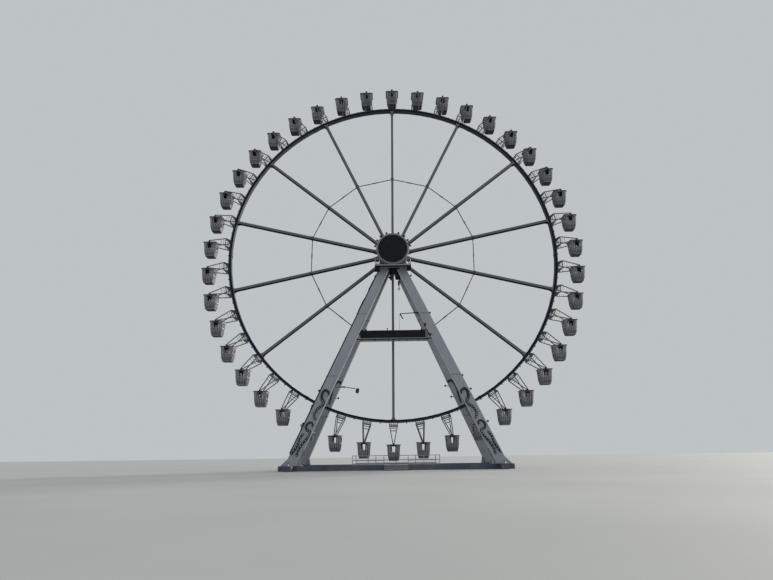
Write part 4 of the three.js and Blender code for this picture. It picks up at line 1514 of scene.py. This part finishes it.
def screw_jack():
    """A screw jack through the end of an outrigger: pad, threaded spindle, nut and tommy bar."""
    pad_rings = [(0.13, 0.3), (0.13, 0.318), (0.08, 0.33), (0.045, 0.332), (0.045, 0.4), (0.04, 0.41)]
    rings = [(0.024, 0.4)]
    for i in range(8):
        rings += [(0.03, 0.41 + 0.014 * i), (0.024, 0.417 + 0.014 * i)]
    thread = loft("thread", 12, rings + [(0.024, 0.53), (0.02, 0.536)])
    tommy = bar("tommy", (-0.11, 0, 0.5), (0.11, 0, 0.5), 0.009, 8)
    return paint_on(join_all([loft("pad", 20, pad_rings), thread, tommy], "jack"), bolt_steel)


foot_section = leg_section("front_right_leg", base_top + 0.01)
outrigger_x, jack_y = (foot_section[0] + foot_section[1]) / 2, 3.1
jack_spots = [Matrix.Translation((x, y, 0)) for x in (-outrigger_x, outrigger_x) for y in (-jack_y, jack_y)]
fit(copies(screw_jack(), jack_spots, "screw_jacks"), "base")

# %% [markdown]
# The steps get pale noses that can be seen at dusk, and the deck gets kick plates, which leave the steps
# free. The long sills are made of sections, and bolted fish plates join them.

# %% Steps, deck edges and sill joints
sill_outer = 2.276
steps = 3
noses = []
for tread in range(steps):
    y = -sill_outer - 0.3 * tread
    top = base_top * (steps - tread) / steps
    noses.append(block("nose", (-0.7, y - 0.006, top - 0.04), (0.7, y + 0.05, top + 0.006), 0.003))
fit(paint_on(join_all(noses, "step_noses"), trim_pale), "base")

deck_side, deck_reach, gate_half = 1.8, 2.58, 0.72
kick_spans = ((-deck_side, -deck_reach, -gate_half), (-deck_side, gate_half, deck_reach),
              (deck_side, -deck_reach, deck_reach))
kicks = []
for y, x_low, x_high in kick_spans:
    kicks.append(block("kick", (x_low, y - 0.008, base_top), (x_high, y + 0.008, base_top + 0.09), 0.003))
fit(paint_on(join_all(kicks, "kick_plates"), zinc), "base")

joint_x, plate_half = 4.6, 0.28
fish_plates = []
for x in (-joint_x, joint_x):
    for side in (-1, 1):
        for y in (side * 1.846, side * 2.286):
            low, high = (x - plate_half, y - 0.012, 0.04), (x + plate_half, y + 0.012, 0.26)
            fish_plates.append(block("fish_plate", low, high))
sill_joints = [paint_on(join_all(fish_plates, "fish_plates"), base_paint)]
bolt_xs = [x + dx for x in (-joint_x, joint_x) for dx in (-0.2, -0.08, 0.08, 0.2)]
for side in (-1, 1):
    spots = [(x, side * 2.298, z) for x in bolt_xs for z in (0.09, 0.21)]
    sill_joints.append(bolts_at(f"plate_bolts_{side}", 0.02, spots, (0, side, 0)))
fit(join_all(sill_joints, "sill_joints"), "base")

# %% [markdown]
# The wheel stands on a plain pale floor under a soft, even sky. A broad, low light from behind on the right
# gives the edges of the cabins a warm tone, and a weak one from the front keeps the screen side readable.

# %% Floor and light
floor = settle(fresh(bpy.ops.mesh.primitive_plane_add, size=600, location=(0, 0, -0.002)), "floor")
floor_material, floor_tree, floor_shader, floor_coords = blank_material("pale_floor")
patches = fade(floor_tree, noise(floor_tree, floor_coords, 0.15), 0.3, 0.7)
floor_colour = blend_colours(floor_tree, patches, (0.5, 0.5, 0.49), (0.54, 0.54, 0.53))
set_inputs(floor_tree, floor_shader, {"Base Color": floor_colour, "Roughness": 0.9})
paint_on(floor, floor_material)


def sun(name, strength, colour, softness, direction):
    """A broad light that shines along a direction."""
    data = bpy.data.lights.new(name, "SUN")
    data.energy = strength
    data.color = colour
    data.angle = math.radians(softness)
    light = bpy.data.objects.new(name, data)
    light.rotation_mode = "QUATERNION"
    light.rotation_quaternion = Vector(direction).to_track_quat("-Z", "Y")
    bpy.context.collection.objects.link(light)


sun("back_light", 3.3, (1.0, 0.94, 0.86), 14, (-0.68, -0.7, -0.16))
sun("front_light", 0.38, (0.95, 0.97, 1.0), 40, (-0.72, 0.66, -0.1))

world = bpy.data.worlds.new("sky")
bpy.context.scene.world = world
world.use_nodes = True
sky = {"Color": (0.54, 0.575, 0.59, 1), "Strength": 0.95}
set_inputs(world.node_tree, world.node_tree.nodes["Background"], sky)
bpy.context.scene.view_settings.view_transform = "Standard"
print("floor and lights are in")
